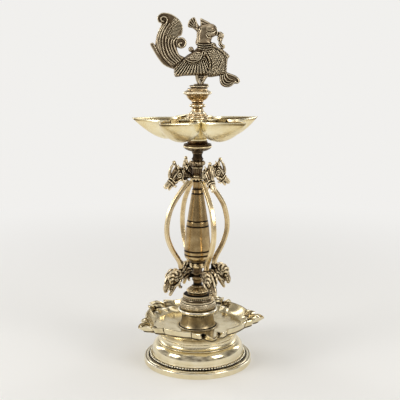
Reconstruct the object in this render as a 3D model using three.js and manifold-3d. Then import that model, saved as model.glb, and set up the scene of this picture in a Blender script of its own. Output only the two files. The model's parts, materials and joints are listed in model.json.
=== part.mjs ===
// Peacock oil lamp: a cast and turned brass lamp, built up of screwed stages.
// Millimetres, +Z up. The origin is the middle of the foot, on the surface that it stands on.
// The peacock's flat side faces -Y, and its beak points to +X.

import * as THREE from 'three';
import { mergeVertices } from 'three/addons/utils/BufferGeometryUtils.js';
import Module from 'manifold-3d';

const wasm = await Module();
wasm.setup();

// Clearances between neighbours
const seatGap = 0.3;
const screwGap = 0.3;

// Foot
const footRadius = 88;
const footHeight = 36;
const rimHeight = 8;
const rimWidth = 8;
const beadRowRadius = 76.3;
const beadRadius = 2.2;
const domeRadius = 75;
const domeTopRadius = 65;
const footWall = 4.5;
const footBossRadius = 19;
const footBossHeight = 14;

// Neck band between the foot and the tray
const neckHeight = 9;
const neckWall = 6;

// Tray with its five wick spouts
const trayBaseRadius = 59;
const trayHeight = 32;
const trayRimRadius = 86;
const trayWall = 2.2;
const trayFloorRadius = 72;
const trayFloorDepth = 17;
const trayBandHeight = 11;
const bossHeight = 38;
const bossTopRadius = 24;
const bossFootRadius = 29.5;
const spigotRadius = 12;
const spigotLength = 21;
const spoutCount = 5;
const spoutTurn = -4.5;
const spoutLength = 24;
const spoutTipDrop = 3;
const spoutWall = 2.2;
const lobeLength = 9;
const lobeOffset = 20;
const lobeWidth = 20;
const notchOffset = 12.5;
const notchDepth = 9;

// Threaded rod that holds the stem together
const rodRadius = 4;
const rodInTray = 20;
const rodInHub = 14;

// Turned pieces of the stem, each from its seat upwards
const discRadius = 33.6;
const discHeight = 7;
const grainRingRadius = 29.5;
const grainRingHeight = 13;
const stepRingRadius = 24.8;
const stepRingHeight = 9.5;
const lotusRadius = 18.2;
const lotusHeight = 13.5;
const lowerPostRadius = 7.6;
const lowerPostHeight = 14;
const maskCollarRadius = 10;
const maskCollarHeight = 8;
const maskNeckHeight = 8;
const blockRadius = 13;
const blockHeight = 13;
const columnHeight = 131;
const columnBelly = 21.8;
const columnTopRadius = 8;
const columnLineDepth = 0.7;
const claspRadius = 11;
const claspHeight = 8.5;
const headCollarRadius = 9.6;
const headCollarHeight = 13;
const knobRadius = 12.7;
const knobLobes = 8;
const knobHeight = 10.5;
const spoolRadius = 8.3;
const spoolHeight = 14;
const bobecheRadius = 23;
const bobecheHeight = 17;

// Curved arms, with a horse's head above and a lion's mask below each
const armCount = 4;
const armTurn = 27.2;
const armWidth = 9;
const armDepth = 8;
const armReach = 54;
const armFootRadius = 29.5;
const armSeatRise = 18.4;
const headThickness = 9;
const maskThickness = 10;

// Five boat-shaped oil cups round a hub
const cupCount = 5;
const cupTurn = 24.2;
const hubRadius = 15;
const hubHeight = 32;
const cupTipRadius = 106.7;
const cupRimOverHub = 2;
const cupWidth = 62;
const cupDepth = 32;
const cupWidestRadius = 52;
const cupWall = 1.8;

// Finial
const pedestalFlareRadius = 17.7;
const pedestalRingRadius = 13;
const pedestalDiscRadius = 22;
const pedestalSeatRadius = 17;
const pedestalHeight = 49;
const finialStudRadius = 3;
const finialStudInHub = 11;
const birdPlateRadius = 16;
const birdPlateHeight = 5;
const bodyThickness = 19;
const tailThickness = 8;
const saddleKnobRadius = 4.4;

// Facets round the turned pieces
const wideSides = 30;
const middleSides = 18;
const smallSides = 14;

// Heights of the seats, from the foot up, and other sizes that follow from those above
const neckSeat = footHeight;
const traySeat = neckSeat + neckHeight;
const discSeat = traySeat + bossHeight;
const grainSeat = discSeat + discHeight;
const stepSeat = grainSeat + grainRingHeight;
const lotusSeat = stepSeat + stepRingHeight;
const maskSeat = lotusSeat + lotusHeight + lowerPostHeight;
const blockSeat = maskSeat + maskCollarHeight + maskNeckHeight;
const columnSeat = blockSeat + blockHeight;
const claspSeat = columnSeat + columnHeight;
const headCollarSeat = claspSeat + claspHeight;
const knobSeat = headCollarSeat + headCollarHeight;
const bobecheSeat = knobSeat + knobHeight + spoolHeight;
const hubSeat = bobecheSeat + bobecheHeight;
const pedestalSeat = hubSeat + hubHeight;
const birdSeat = pedestalSeat + pedestalHeight;
const spoutReach = trayRimRadius + spoutLength;
const lobeReach = trayRimRadius + lobeLength;
const rodBore = rodRadius + screwGap;
const finialBore = finialStudRadius + screwGap;

const lamp = new THREE.Group();
lamp.name = 'peacock_oil_lamp';

// Finishes
const paleBrass = { color: 0xcfc090, roughness: 0.28, metalness: 1 };
const polishedBrass = { color: 0xd9c690, roughness: 0.14, metalness: 1 };
const goldBrass = { color: 0xcfae5c, roughness: 0.22, metalness: 1 };
const antiqueBrass = { color: 0x85775a, roughness: 0.42, metalness: 1 };
const steel = { color: 0x8a8a88, roughness: 0.4, metalness: 1 };

// Turns a profile drawn as radius and height about the lamp's axis.
function turned(path, sides, steps = 4) {
  return new THREE.LatheGeometry(path.getPoints(steps), sides).rotateX(Math.PI / 2);
}

// Makes a solid for cutting and joining from a closed geometry.
function solid(geometry) {
  const plain = geometry.index ? geometry.toNonIndexed() : geometry.clone();
  plain.deleteAttribute('normal');
  plain.deleteAttribute('uv');
  const merged = mergeVertices(plain, 1e-4);
  const corners = merged.index.array;
  const kept = [];
  for (let i = 0; i < corners.length; i += 3) {
    const [a, b, c] = corners.slice(i, i + 3);
    if (a !== b && b !== c && c !== a) kept.push(a, b, c);
  }
  const vertProperties = new Float32Array(merged.attributes.position.array);
  return new wasm.Manifold(new wasm.Mesh({ numProp: 3, vertProperties, triVerts: new Uint32Array(kept) }));
}

// Brings a solid back as a geometry.
function geometryOf(body) {
  const { vertProperties, triVerts } = body.getMesh();
  const geometry = new THREE.BufferGeometry();
  geometry.setAttribute('position', new THREE.BufferAttribute(vertProperties, 3));
  geometry.setIndex(new THREE.BufferAttribute(triVerts, 1));
  geometry.computeVertexNormals();
  return geometry;
}

// An upright round hole between two heights, to be cut from a solid.
function roundHole(radius, low, high, sides = smallSides) {
  const hole = new THREE.CylinderGeometry(radius, radius, high - low, sides);
  return solid(hole.rotateX(Math.PI / 2).translate(0, 0, (low + high) / 2));
}

// Adds a piece to its group at a height above the group's origin.
function place(name, geometry, finish, height, group = lamp) {
  const mesh = new THREE.Mesh(geometry, new THREE.MeshStandardMaterial(finish));
  mesh.name = name;
  mesh.position.z = height;
  group.add(mesh);
  return mesh;
}

// A group turned about the lamp's axis, so that its +X points outwards at the angle.
function turnedGroup(degrees) {
  const group = new THREE.Group();
  group.rotation.z = THREE.MathUtils.degToRad(degrees);
  lamp.add(group);
  return group;
}

// A plate cut to an outline that lies in the XZ plane, centred on y = 0, with eased edges.
function castOutline(shape, thickness, ease, steps) {
  const settings = {
    depth: thickness - 2 * ease,
    bevelEnabled: true,
    bevelThickness: ease,
    bevelSize: ease,
    bevelOffset: -ease,
    bevelSegments: 1,
    curveSegments: steps,
  };
  const geometry = new THREE.ExtrudeGeometry(shape, settings);
  return geometry.translate(0, 0, ease - thickness / 2).rotateX(Math.PI / 2);
}

// A closed outline that runs smoothly through points, cut into a number of sides.
function smoothOutline(points, sides) {
  const corners = points.map(([x, z]) => new THREE.Vector3(x, z, 0));
  const curve = new THREE.CatmullRomCurve3(corners, true, 'centripetal');
  const around = curve.getPoints(sides).slice(0, -1);
  return new THREE.Shape(around.map((corner) => new THREE.Vector2(corner.x, corner.y)));
}

// Foot: flat rim, stepped rings, a row of beads and a dome, hollow underneath.
function footGeometry() {
  const boreRadius = spigotRadius + screwGap;
  const rimInner = footRadius - rimWidth;
  const stepHeight = rimHeight + 1.6;
  const domeSpring = footHeight * 0.5;
  const plateUnder = footHeight - footWall;
  const path = new THREE.Path();
  path.moveTo(rimInner, 0);
  path.lineTo(footRadius, 0);
  path.lineTo(footRadius, rimHeight);
  path.lineTo(footRadius - 1, stepHeight);
  path.lineTo(beadRowRadius + 2.4 * beadRadius, stepHeight);
  path.lineTo(beadRowRadius + 1.6 * beadRadius, stepHeight + 1.4);
  path.absarc(beadRowRadius, stepHeight + 1.4, beadRadius, 0, Math.PI * 0.9, false);
  path.lineTo(domeRadius, domeSpring);
  path.quadraticCurveTo(domeRadius, footHeight - 4, domeTopRadius, footHeight);
  path.lineTo(boreRadius, footHeight);
  path.lineTo(boreRadius, footHeight - footBossHeight);
  path.lineTo(footBossRadius, footHeight - footBossHeight);
  path.lineTo(footBossRadius, plateUnder);
  path.lineTo(domeTopRadius - footWall, plateUnder);
  path.lineTo(domeRadius - footWall, domeSpring);
  path.lineTo(beadRowRadius - footWall, stepHeight - 2);
  path.lineTo(rimInner, rimHeight - 3);
  path.closePath();
  return turned(path, wideSides, 3);
}

// Neck band: a short flared ring that lifts the tray off the foot.
function neckGeometry() {
  const topRadius = trayBaseRadius + 2.5;
  const path = new THREE.Path();
  path.moveTo(domeTopRadius - neckWall, 0);
  path.lineTo(domeTopRadius, 0);
  path.quadraticCurveTo(topRadius, neckHeight * 0.35, topRadius, neckHeight);
  path.lineTo(trayBaseRadius - neckWall, neckHeight);
  path.closePath();
  return turned(path, wideSides, 3);
}

// One leaf of a wick spout seen from above: a long middle lobe between two short pointed ones,
// with a notch between each two.
function spoutLeaf() {
  const root = trayRimRadius - 8;
  const side = lobeOffset + lobeWidth / 2;
  const seam = trayRimRadius - 3.5;
  const notch = lobeReach - notchDepth;
  const swell = spoutReach - 7;
  const shape = new THREE.Shape();
  shape.moveTo(root, -side);
  shape.lineTo(seam, -side);
  shape.lineTo(lobeReach, -lobeOffset);
  shape.lineTo(notch, -notchOffset);
  shape.quadraticCurveTo(swell, -notchOffset * 0.78, spoutReach, 0);
  shape.quadraticCurveTo(swell, notchOffset * 0.78, notch, notchOffset);
  shape.lineTo(lobeReach, lobeOffset);
  shape.lineTo(seam, side);
  shape.lineTo(root, side);
  return shape;
}

// The middle lobe's channel, where the wick lies.
function wickChannel() {
  const half = notchOffset - 1.6 * spoutWall;
  const shape = new THREE.Shape();
  shape.moveTo(trayFloorRadius, -half);
  shape.lineTo(lobeReach - 4, -half);
  shape.quadraticCurveTo(spoutReach - 10, -half * 0.6, spoutReach - 2 * spoutWall, 0);
  shape.quadraticCurveTo(spoutReach - 10, half * 0.6, lobeReach - 4, half);
  shape.lineTo(trayFloorRadius, half);
  return shape;
}

// Tray: a turned dish with a raised seat in the middle and five leaf-shaped spouts.
function trayGeometry() {
  const bandFoot = trayHeight - trayBandHeight;
  const floor = trayHeight - trayFloorDepth;
  const above = trayHeight + 12;
  const dish = new THREE.Path();
  dish.moveTo(0, -spigotLength);
  dish.lineTo(spigotRadius, -spigotLength);
  dish.lineTo(spigotRadius, floor - 7);
  dish.lineTo(trayBaseRadius - neckWall, floor - 7);
  dish.lineTo(trayBaseRadius - neckWall, 0);
  dish.lineTo(trayBaseRadius, 0);
  dish.quadraticCurveTo(trayBaseRadius + 1, floor - 6, trayBaseRadius + 6, floor - 4.5);
  dish.lineTo(trayFloorRadius + 2, floor - 2.5);
  dish.lineTo(trayRimRadius - 2.6, bandFoot);
  dish.lineTo(trayRimRadius - 1.6, bandFoot + 1);
  dish.lineTo(trayRimRadius, trayHeight - 1);
  dish.lineTo(trayRimRadius - 0.8, trayHeight);
  dish.lineTo(0, trayHeight);
  const hollow = new THREE.Path();
  hollow.moveTo(bossFootRadius, floor - 1.5);
  hollow.lineTo(trayFloorRadius, floor);
  hollow.lineTo(trayRimRadius - trayWall, trayHeight - 2);
  hollow.lineTo(trayRimRadius - trayWall, above);
  hollow.lineTo(bossTopRadius, above);
  hollow.lineTo(bossTopRadius, trayHeight - 6);
  hollow.quadraticCurveTo(bossTopRadius + 0.5, floor + 3, bossFootRadius, floor - 1.5);
  const boss = new THREE.Path();
  boss.moveTo(0, trayHeight - 10);
  boss.lineTo(bossTopRadius, trayHeight - 10);
  boss.lineTo(bossTopRadius, bossHeight);
  boss.lineTo(0, bossHeight);
  const rodHole = roundHole(rodBore, bossHeight - rodInTray - 1, bossHeight + 1);
  const leafHeight = trayBandHeight + 2;
  const flatCut = { bevelEnabled: false, curveSegments: 2 };
  const slope = Math.atan2(leafHeight - spoutTipDrop - 4, spoutLength);
  const fall = Math.atan2(spoutTipDrop, spoutLength);
  let tray = solid(turned(dish, wideSides, 3));
  let cuts = solid(turned(hollow, wideSides, 3));
  for (let i = 0; i < spoutCount; i += 1) {
    const degrees = spoutTurn + (360 / spoutCount) * i;
    const leaf = new THREE.ExtrudeGeometry(spoutLeaf(), { depth: leafHeight, ...flatCut });
    leaf.translate(0, 0, trayHeight - leafHeight);
    const under = new THREE.BoxGeometry(60, 80, 20).translate(30, 0, -10).rotateY(-slope);
    under.translate(trayRimRadius - 3, 0, trayHeight - leafHeight + 1);
    const over = new THREE.BoxGeometry(60, 80, 20).translate(30, 0, 10).rotateY(fall);
    over.translate(trayRimRadius, 0, trayHeight);
    const channel = new THREE.ExtrudeGeometry(wickChannel(), { depth: 20, ...flatCut });
    channel.rotateY(-slope * 0.35).translate(-3, 0, trayHeight - 12.5);
    const shaped = solid(leaf).subtract(solid(under)).subtract(solid(over));
    tray = tray.add(shaped.rotate([0, 0, degrees]));
    cuts = cuts.add(solid(channel).rotate([0, 0, degrees]));
  }
  return geometryOf(tray.subtract(cuts).add(solid(turned(boss, wideSides))).subtract(rodHole));
}

// Each turned piece of the stem is a ring on the rod, drawn from its seat.
function bored(draw, height, sides, steps = 4, bore = rodBore) {
  const path = new THREE.Path();
  path.moveTo(bore, 0);
  draw(path);
  path.lineTo(bore, height);
  path.closePath();
  return turned(path, sides, steps);
}

function discGeometry() {
  const edge = discHeight / 2;
  const draw = (path) => {
    path.lineTo(discRadius - edge * 0.6, 0);
    path.quadraticCurveTo(discRadius + 0.4, edge, discRadius - edge * 0.6, discHeight);
  };
  return bored(draw, discHeight, middleSides, 3);
}

function grainRingGeometry() {
  const shoulder = grainRingHeight - 1.5;
  const draw = (path) => {
    path.lineTo(grainRingRadius - 1, 0);
    path.quadraticCurveTo(grainRingRadius + 2.2, grainRingHeight * 0.45, grainRingRadius - 1.6, shoulder);
    path.lineTo(grainRingRadius - 5, grainRingHeight);
  };
  return bored(draw, grainRingHeight, middleSides, 3);
}

function stepRingGeometry() {
  const draw = (path) => {
    path.lineTo(stepRingRadius - 2, 0);
    path.lineTo(stepRingRadius - 2, 1.5);
    path.lineTo(stepRingRadius, 2.5);
    path.lineTo(stepRingRadius - 0.6, stepRingHeight - 2);
    path.lineTo(stepRingRadius - 3, stepRingHeight);
  };
  return bored(draw, stepRingHeight, middleSides);
}

// Lotus bell with the lower post on it, cast as one.
function lotusGeometry() {
  const height = lotusHeight + lowerPostHeight;
  const draw = (path) => {
    path.lineTo(lotusRadius - 2.4, 0);
    path.quadraticCurveTo(lotusRadius + 2.2, lotusHeight * 0.3, lotusRadius - 2.6, lotusHeight * 0.62);
    path.quadraticCurveTo(lowerPostRadius + 3.5, lotusHeight * 0.9, lowerPostRadius + 0.6, lotusHeight + 1.5);
    path.lineTo(lowerPostRadius, height * 0.62);
    path.lineTo(lowerPostRadius + 1.6, height - 2);
    path.lineTo(lowerPostRadius + 1.6, height);
  };
  return bored(draw, height, middleSides, 3);
}

function maskCollarGeometry() {
  const draw = (path) => {
    path.lineTo(maskCollarRadius, 0);
    path.lineTo(maskCollarRadius, maskCollarHeight);
    path.lineTo(maskCollarRadius - 2, maskCollarHeight + 1);
    path.lineTo(maskCollarRadius - 2, maskCollarHeight + maskNeckHeight);
  };
  return bored(draw, maskCollarHeight + maskNeckHeight, smallSides);
}

function blockGeometry() {
  const draw = (path) => {
    path.lineTo(blockRadius - 3, 0);
    path.quadraticCurveTo(blockRadius, 0.4, blockRadius, 3.5);
    path.lineTo(blockRadius, blockHeight);
  };
  return bored(draw, blockHeight, smallSides, 3);
}

// Column: a long baluster with pairs of cut lines and a slim top.
function columnGeometry() {
  const belly = columnHeight * 0.12;
  const lowLine = columnHeight * 0.075;
  const midLine = columnHeight * 0.445;
  const shoulder = columnHeight * 0.8;
  const draw = (path) => {
    path.lineTo(blockRadius + 1.5, 0);
    path.quadraticCurveTo(columnBelly - 3, 1.5, columnBelly - 0.4, lowLine - 1);
    path.lineTo(columnBelly - columnLineDepth - 0.3, lowLine);
    path.lineTo(columnBelly, lowLine + 1);
    path.lineTo(columnBelly, belly + 0.4);
    path.lineTo(columnBelly - columnLineDepth, belly + 1.2);
    path.lineTo(columnBelly - 0.1, belly + 2.2);
    path.quadraticCurveTo(columnBelly - 1.1, midLine * 0.66, columnBelly * 0.82, midLine - 1);
    path.lineTo(columnBelly * 0.82 - columnLineDepth, midLine);
    path.lineTo(columnBelly * 0.805, midLine + 1);
    path.lineTo(columnBelly * 0.77, midLine + 6.6);
    path.lineTo(columnBelly * 0.75 - columnLineDepth, midLine + 7.4);
    path.lineTo(columnBelly * 0.75, midLine + 8.2);
    path.quadraticCurveTo(columnBelly * 0.53, shoulder * 0.88, columnTopRadius + 1.9, shoulder + 4);
    path.lineTo(columnTopRadius - 0.8, shoulder + 5);
    path.lineTo(columnTopRadius, shoulder + 6.5);
    path.lineTo(columnTopRadius, columnHeight);
  };
  return bored(draw, columnHeight, middleSides, 3);
}

function claspGeometry() {
  const draw = (path) => {
    path.lineTo(claspRadius - 1, 0);
    path.lineTo(claspRadius, 2);
    path.lineTo(claspRadius, claspHeight - 1.5);
    path.lineTo(claspRadius - 1.5, claspHeight);
  };
  return bored(draw, claspHeight, smallSides);
}

function headCollarGeometry() {
  const draw = (path) => {
    path.lineTo(headCollarRadius, 0);
    path.quadraticCurveTo(headCollarRadius - 2.4, headCollarHeight / 2, headCollarRadius, headCollarHeight);
  };
  return bored(draw, headCollarHeight, smallSides, 3);
}

// Knob of round lobes, with the spool neck turned on top of it.
function knobGeometry() {
  const height = knobHeight + spoolHeight;
  const middle = knobHeight / 2;
  const core = knobRadius - 2.6;
  const draw = (path) => {
    path.lineTo(headCollarRadius - 1, 0);
    path.quadraticCurveTo(core + 2, middle, core - 1, knobHeight);
    path.lineTo(spoolRadius, knobHeight + 2);
    path.quadraticCurveTo(spoolRadius - 2.4, knobHeight + spoolHeight / 2, spoolRadius, height - 3);
    path.lineTo(spoolRadius + 1.4, height - 2);
    path.lineTo(spoolRadius + 1.4, height);
  };
  let knob = solid(bored(draw, height, smallSides, 3));
  const lobe = solid(new THREE.SphereGeometry(middle * 0.86, 6, 4).scale(1, 0.9, 1));
  const outermost = lobe.translate([knobRadius - middle * 0.86, 0, middle]);
  for (let i = 0; i < knobLobes; i += 1) {
    knob = knob.add(outermost.rotate([0, 0, (360 / knobLobes) * i]));
  }
  return geometryOf(knob.subtract(roundHole(rodBore, 0, height)));
}

// Drip pan under the cups.
function bobecheGeometry() {
  const rim = bobecheHeight * 0.56;
  const draw = (path) => {
    path.lineTo(spoolRadius + 0.6, 0);
    path.quadraticCurveTo(bobecheRadius - 7, 1, bobecheRadius - 3, rim - 4);
    path.lineTo(bobecheRadius, rim - 1.5);
    path.lineTo(bobecheRadius, rim + 1);
    path.lineTo(bobecheRadius - 3, rim + 3);
    path.lineTo(hubRadius, bobecheHeight);
  };
  return bored(draw, bobecheHeight, middleSides, 3);
}

function rodGeometry() {
  const length = hubSeat + rodInHub - (discSeat - rodInTray);
  const rod = new THREE.CylinderGeometry(rodRadius, rodRadius, length, smallSides);
  return rod.rotateX(Math.PI / 2).translate(0, 0, length / 2);
}

// Hub of the cups: the rod screws in from below and the finial's stud from above.
function hubGeometry() {
  const rodTop = rodInHub + 1;
  const studFoot = hubHeight - finialStudInHub - 1;
  const path = new THREE.Path();
  path.moveTo(0, rodTop);
  path.lineTo(rodBore, rodTop);
  path.lineTo(rodBore, 0);
  path.lineTo(hubRadius, 0);
  path.lineTo(hubRadius, hubHeight);
  path.lineTo(finialBore, hubHeight);
  path.lineTo(finialBore, studFoot);
  path.lineTo(0, studFoot);
  return turned(path, smallSides);
}

// A boat-shaped body between two radii, its rim at z = 0 and its top raised above that.
function boatBody(near, far, halfWidth, depth, raised) {
  const stations = 9;
  const ribs = 6;
  const around = ribs + 3;
  const blunt = 0.5;
  const slice = Math.tan(Math.PI / cupCount);
  const corners = [];
  const faces = [];
  for (let i = 0; i <= stations; i += 1) {
    const r = near + (far - near) * (0.5 - 0.5 * Math.cos((Math.PI * i) / stations));
    const inner = Math.min((cupWidestRadius - r) / (cupWidestRadius - near), 1);
    const outer = Math.min((r - cupWidestRadius) / (far - cupWidestRadius), 1);
    const plan = inner > 0 ? Math.sqrt(1 - inner * inner) : 1 - outer ** 1.6;
    const keel = inner > 0 ? Math.sqrt(1 - inner ** 2.4) : 1 - outer ** 1.5;
    const half = Math.max(blunt, Math.min(halfWidth * plan, r * slice - seatGap));
    const deep = Math.max(blunt, depth * keel);
    for (let j = 0; j <= ribs; j += 1) {
      const s = (Math.PI * j) / ribs;
      const side = j === 0 || j === ribs ? 0 : Math.sin(s) ** 0.8;
      corners.push(r, -half * Math.cos(s), -deep * side);
    }
    corners.push(r, half, raised, r, -half, raised);
  }
  for (let i = 0; i < stations; i += 1) {
    for (let j = 0; j < around; j += 1) {
      const a = i * around + j;
      const b = i * around + ((j + 1) % around);
      faces.push(a, b, b + around, a, b + around, a + around);
    }
  }
  const last = stations * around;
  for (let j = 1; j < around - 1; j += 1) {
    faces.push(0, j + 1, j);
    faces.push(last, last + j, last + j + 1);
  }
  const geometry = new THREE.BufferGeometry();
  geometry.setAttribute('position', new THREE.Float32BufferAttribute(corners, 3));
  geometry.setIndex(faces);
  return geometry;
}

// Oil cup: a thin boat-shaped bowl, drawn in to the hub and pointed at its lip.
function cupGeometry() {
  const near = hubRadius + seatGap;
  const half = cupWidth / 2;
  const innerNear = near + 1.5 * cupWall;
  const innerTip = cupTipRadius - 2 * cupWall;
  const outside = boatBody(near, cupTipRadius, half, cupDepth, 0);
  const inside = boatBody(innerNear, innerTip, half - cupWall, cupDepth - cupWall, 5);
  return geometryOf(solid(outside).subtract(solid(inside)));
}

// Curved arm: a bar with a ridge outside, bent out from the stem and back, in the XZ plane. Its ends are
// trimmed level, and the upper one is coped to the column's slim top.
function armGeometry() {
  const top = claspSeat - seatGap;
  const foot = maskSeat + armSeatRise + seatGap;
  const topRadius = columnTopRadius + seatGap + armDepth / 2;
  const bend = [
    [armFootRadius, -0.02],
    [armFootRadius + 0.4, 0.03],
    [armFootRadius + 5, 0.09],
    [armReach - 9, 0.22],
    [armReach - 1, 0.37],
    [armReach, 0.48],
    [armReach - 4, 0.61],
    [armReach - 16, 0.76],
    [topRadius + 6, 0.9],
    [topRadius + 0.8, 0.96],
    [topRadius, 1.02],
  ];
  const points = bend.map(([r, share]) => new THREE.Vector3(r, 0, foot + share * (top - foot)));
  const curve = new THREE.CatmullRomCurve3(points, false, 'centripetal');
  const half = armWidth / 2;
  const deep = armDepth / 2;
  const section = new THREE.Shape();
  section.moveTo(-deep, -half * 0.7);
  section.lineTo(-deep * 0.1, -half);
  section.lineTo(deep, 0);
  section.lineTo(-deep * 0.1, half);
  section.lineTo(-deep, half * 0.7);
  const bar = new THREE.ExtrudeGeometry(section, { steps: 14, extrudePath: curve, bevelEnabled: false });
  const over = new THREE.BoxGeometry(60, 20, 10).translate(30, 0, top + 5);
  const under = new THREE.BoxGeometry(60, 20, 10).translate(armFootRadius, 0, foot - 5);
  const post = roundHole(columnTopRadius + seatGap, top - armDepth * 3, top + 1, middleSides);
  return geometryOf(solid(bar).subtract(solid(over)).subtract(solid(under)).subtract(post));
}

// Bridled horse's head on an arched neck, looking outwards and down.
function horseGeometry() {
  const root = claspRadius - 1;
  const outline = [
    [root, 0.8], [root, 9], [17, 13.5], [24, 18], [31, 22], [38, 25], [44, 24], [49, 15], [54.5, 2],
    [58.5, -5.5], [53, -12], [45.5, -6], [38.5, -1], [32, 0.5], [25, 1], [18, 2.5],
  ];
  const profile = castOutline(smoothOutline(outline, 21), headThickness, 1.6, 1);
  const cheek = new THREE.CylinderGeometry(6.8, 6.8, headThickness + 3, 8).translate(34, 0, 10.5);
  const band = new THREE.BoxGeometry(15, headThickness + 2.4, 2.8).rotateY(-0.6).translate(45, 0, 3.5);
  const stalk = new THREE.CylinderGeometry(1.8, 2.6, 10, 6).rotateX(Math.PI / 2).translate(41, 0, 26);
  const knot = new THREE.SphereGeometry(3, 6, 4).translate(41.5, 0, 30);
  const pieces = [cheek, band, stalk, knot].map(solid);
  const head = pieces.reduce((whole, piece) => whole.add(piece), solid(profile));
  return geometryOf(head.subtract(roundHole(claspRadius + seatGap, -1, claspHeight + headCollarHeight)));
}

// Leafy-maned lion's mask, looking outwards and down under the arm that stands on it.
function maskGeometry() {
  const root = maskCollarRadius - 1;
  const crown = armSeatRise + 1;
  const outline = [
    [root, 0.5], [root, 7.5], [19, 9], [23, 15], [armFootRadius - 3, crown], [armFootRadius + 3, crown],
    [40, 16], [49, 12.5], [56, 5], [59, -5], [57, -17], [52, -24.5], [47.5, -21.5], [47, -14],
    [40, -9], [34, -9.5], [31, -14], [28, -10], [22, -2],
  ];
  const profile = castOutline(smoothOutline(outline, 24), maskThickness, 1.6, 1);
  const mane = new THREE.SphereGeometry(11, 9, 6).scale(1.15, 1, 0.95).translate(42, 0, 4);
  const armSeat = solid(new THREE.BoxGeometry(60, 20, 10).translate(30, 0, armSeatRise + 5));
  const collar = roundHole(maskCollarRadius + seatGap, -lowerPostHeight, blockSeat - maskSeat);
  return geometryOf(solid(profile).add(solid(mane)).subtract(armSeat).subtract(collar));
}

// Pedestal of the finial: a beaded flare, a ring and a bowl with a disc on top.
function pedestalGeometry() {
  const neck = pedestalRingRadius - 4.6;
  const flareFoot = cupRimOverHub + seatGap;
  const draw = (path) => {
    path.lineTo(hubRadius - seatGap, 0);
    path.lineTo(hubRadius - seatGap, flareFoot);
    path.lineTo(pedestalFlareRadius, flareFoot);
    path.lineTo(pedestalFlareRadius, flareFoot + 2);
    path.quadraticCurveTo(pedestalFlareRadius - 2, 12, neck, 16);
    path.lineTo(neck, 19.5);
    path.quadraticCurveTo(pedestalRingRadius + 2.6, 22.6, neck, 25.6);
    path.lineTo(neck, 29);
    path.quadraticCurveTo(pedestalDiscRadius - 7, 31, pedestalDiscRadius - 4, 38);
    path.lineTo(pedestalDiscRadius - 1.2, 40);
    path.quadraticCurveTo(pedestalDiscRadius + 0.8, 43, pedestalDiscRadius - 1.8, 46);
    path.lineTo(pedestalSeatRadius, 47);
    path.lineTo(pedestalSeatRadius, pedestalHeight);
  };
  return bored(draw, pedestalHeight, middleSides, 3, finialBore);
}

// Peacock: one flat casting that stands on a round plate, with its parts drawn above the plate.
function peacockGeometry() {
  const body = [
    [-22, 43], [-12, 46], [-2, 54], [12, 55], [27, 55], [38, 54], [49, 45], [46, 33],
    [44, 20], [36, 14], [16, 13], [-12, 14.5], [-35, 13], [-36, 23], [-30, 33],
  ];
  const neck = [
    [-2, 52], [-1, 69], [0, 83], [4, 90], [12, 93], [19, 92.5],
    [27, 89], [31, 83], [29, 75], [21, 70], [19, 64], [24, 52],
  ];
  const tail = [
    [-20, 42], [-29, 46], [-32, 54], [-28, 67], [-23, 80], [-22, 89], [-27, 98], [-34, 104], [-42, 108],
    [-50, 110], [-58, 107], [-62, 101], [-59, 95], [-54, 92], [-59, 87], [-63, 80], [-65, 69],
    [-66, 64], [-71, 66], [-73, 61], [-64, 48], [-56, 37], [-47, 28], [-35, 24], [-24, 30],
  ];
  const shell = [
    [40, 19], [35, 12], [33, 6], [38, -1], [46, -4], [55, -1],
    [63, 1], [66, 5], [64, 9], [57, 14], [48, 18],
  ];
  const pendant = [[27, 74], [32, 74], [33, 67], [38, 62], [42, 60], [39, 54], [31, 52], [26, 60], [27, 68]];
  const beak = [[25, 87], [32, 85], [35, 80], [40, 77], [39, 71.5], [32, 73], [27, 76]];
  const backCrest = [[4, 86], [-1, 82], [-15, 89], [-14, 96], [-6, 104], [-1, 99]];
  const frontCrest = [[2, 86], [4, 102], [12, 99], [22, 90]];
  const scroll = new THREE.CylinderGeometry(9, 9, tailThickness, 14).translate(-25, 0, 64);
  const plateTop = birdPlateRadius - 1;
  const plate = new THREE.CylinderGeometry(plateTop, birdPlateRadius, birdPlateHeight, middleSides);
  plate.rotateX(Math.PI / 2).translate(0, 0, -birdPlateHeight / 2);
  const breast = new THREE.SphereGeometry(1, 12, 8).scale(24, bodyThickness / 2 + 2, 19).translate(20, 0, 34);
  const head = new THREE.SphereGeometry(1, 12, 7).scale(14, 9, 13).translate(14, 0, 79);
  const knob = new THREE.SphereGeometry(saddleKnobRadius, 8, 6).translate(-10, 0, 54.6);
  const knobStalk = new THREE.CylinderGeometry(1.8, 1.8, 12, 6).rotateZ(Math.PI / 2).translate(-4.5, 0, 53);
  const castings = [
    castOutline(smoothOutline(body, 28), bodyThickness, 3, 1),
    castOutline(smoothOutline(neck, 20), bodyThickness - 4, 3, 1),
    castOutline(smoothOutline(tail, 40), tailThickness, 1.6, 1),
    castOutline(smoothOutline(shell, 20), tailThickness, 2, 1),
    castOutline(smoothOutline(pendant, 14), tailThickness, 1.2, 1),
    castOutline(smoothOutline(beak, 12), tailThickness, 1.2, 1),
    castOutline(smoothOutline(backCrest, 12), tailThickness - 3, 1, 1),
    castOutline(smoothOutline(frontCrest, 10), tailThickness - 3, 1, 1),
    scroll,
    breast,
    head,
    knob,
    knobStalk,
  ];
  let bird = solid(plate);
  for (const casting of castings) bird = bird.add(solid(casting));
  for (const side of [-1, 1]) {
    const leg = new THREE.CylinderGeometry(2.6, 2.2, 20, 6);
    leg.rotateX(Math.PI / 2).rotateY(side * 0.28).translate(3, side * 4, 7);
    const knee = new THREE.SphereGeometry(3.4, 6, 4).translate(3 + side, side * 4, 1);
    bird = bird.add(solid(leg)).add(solid(knee));
  }
  return geometryOf(bird.subtract(roundHole(finialBore, -birdPlateHeight - 1, -1)));
}

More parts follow.
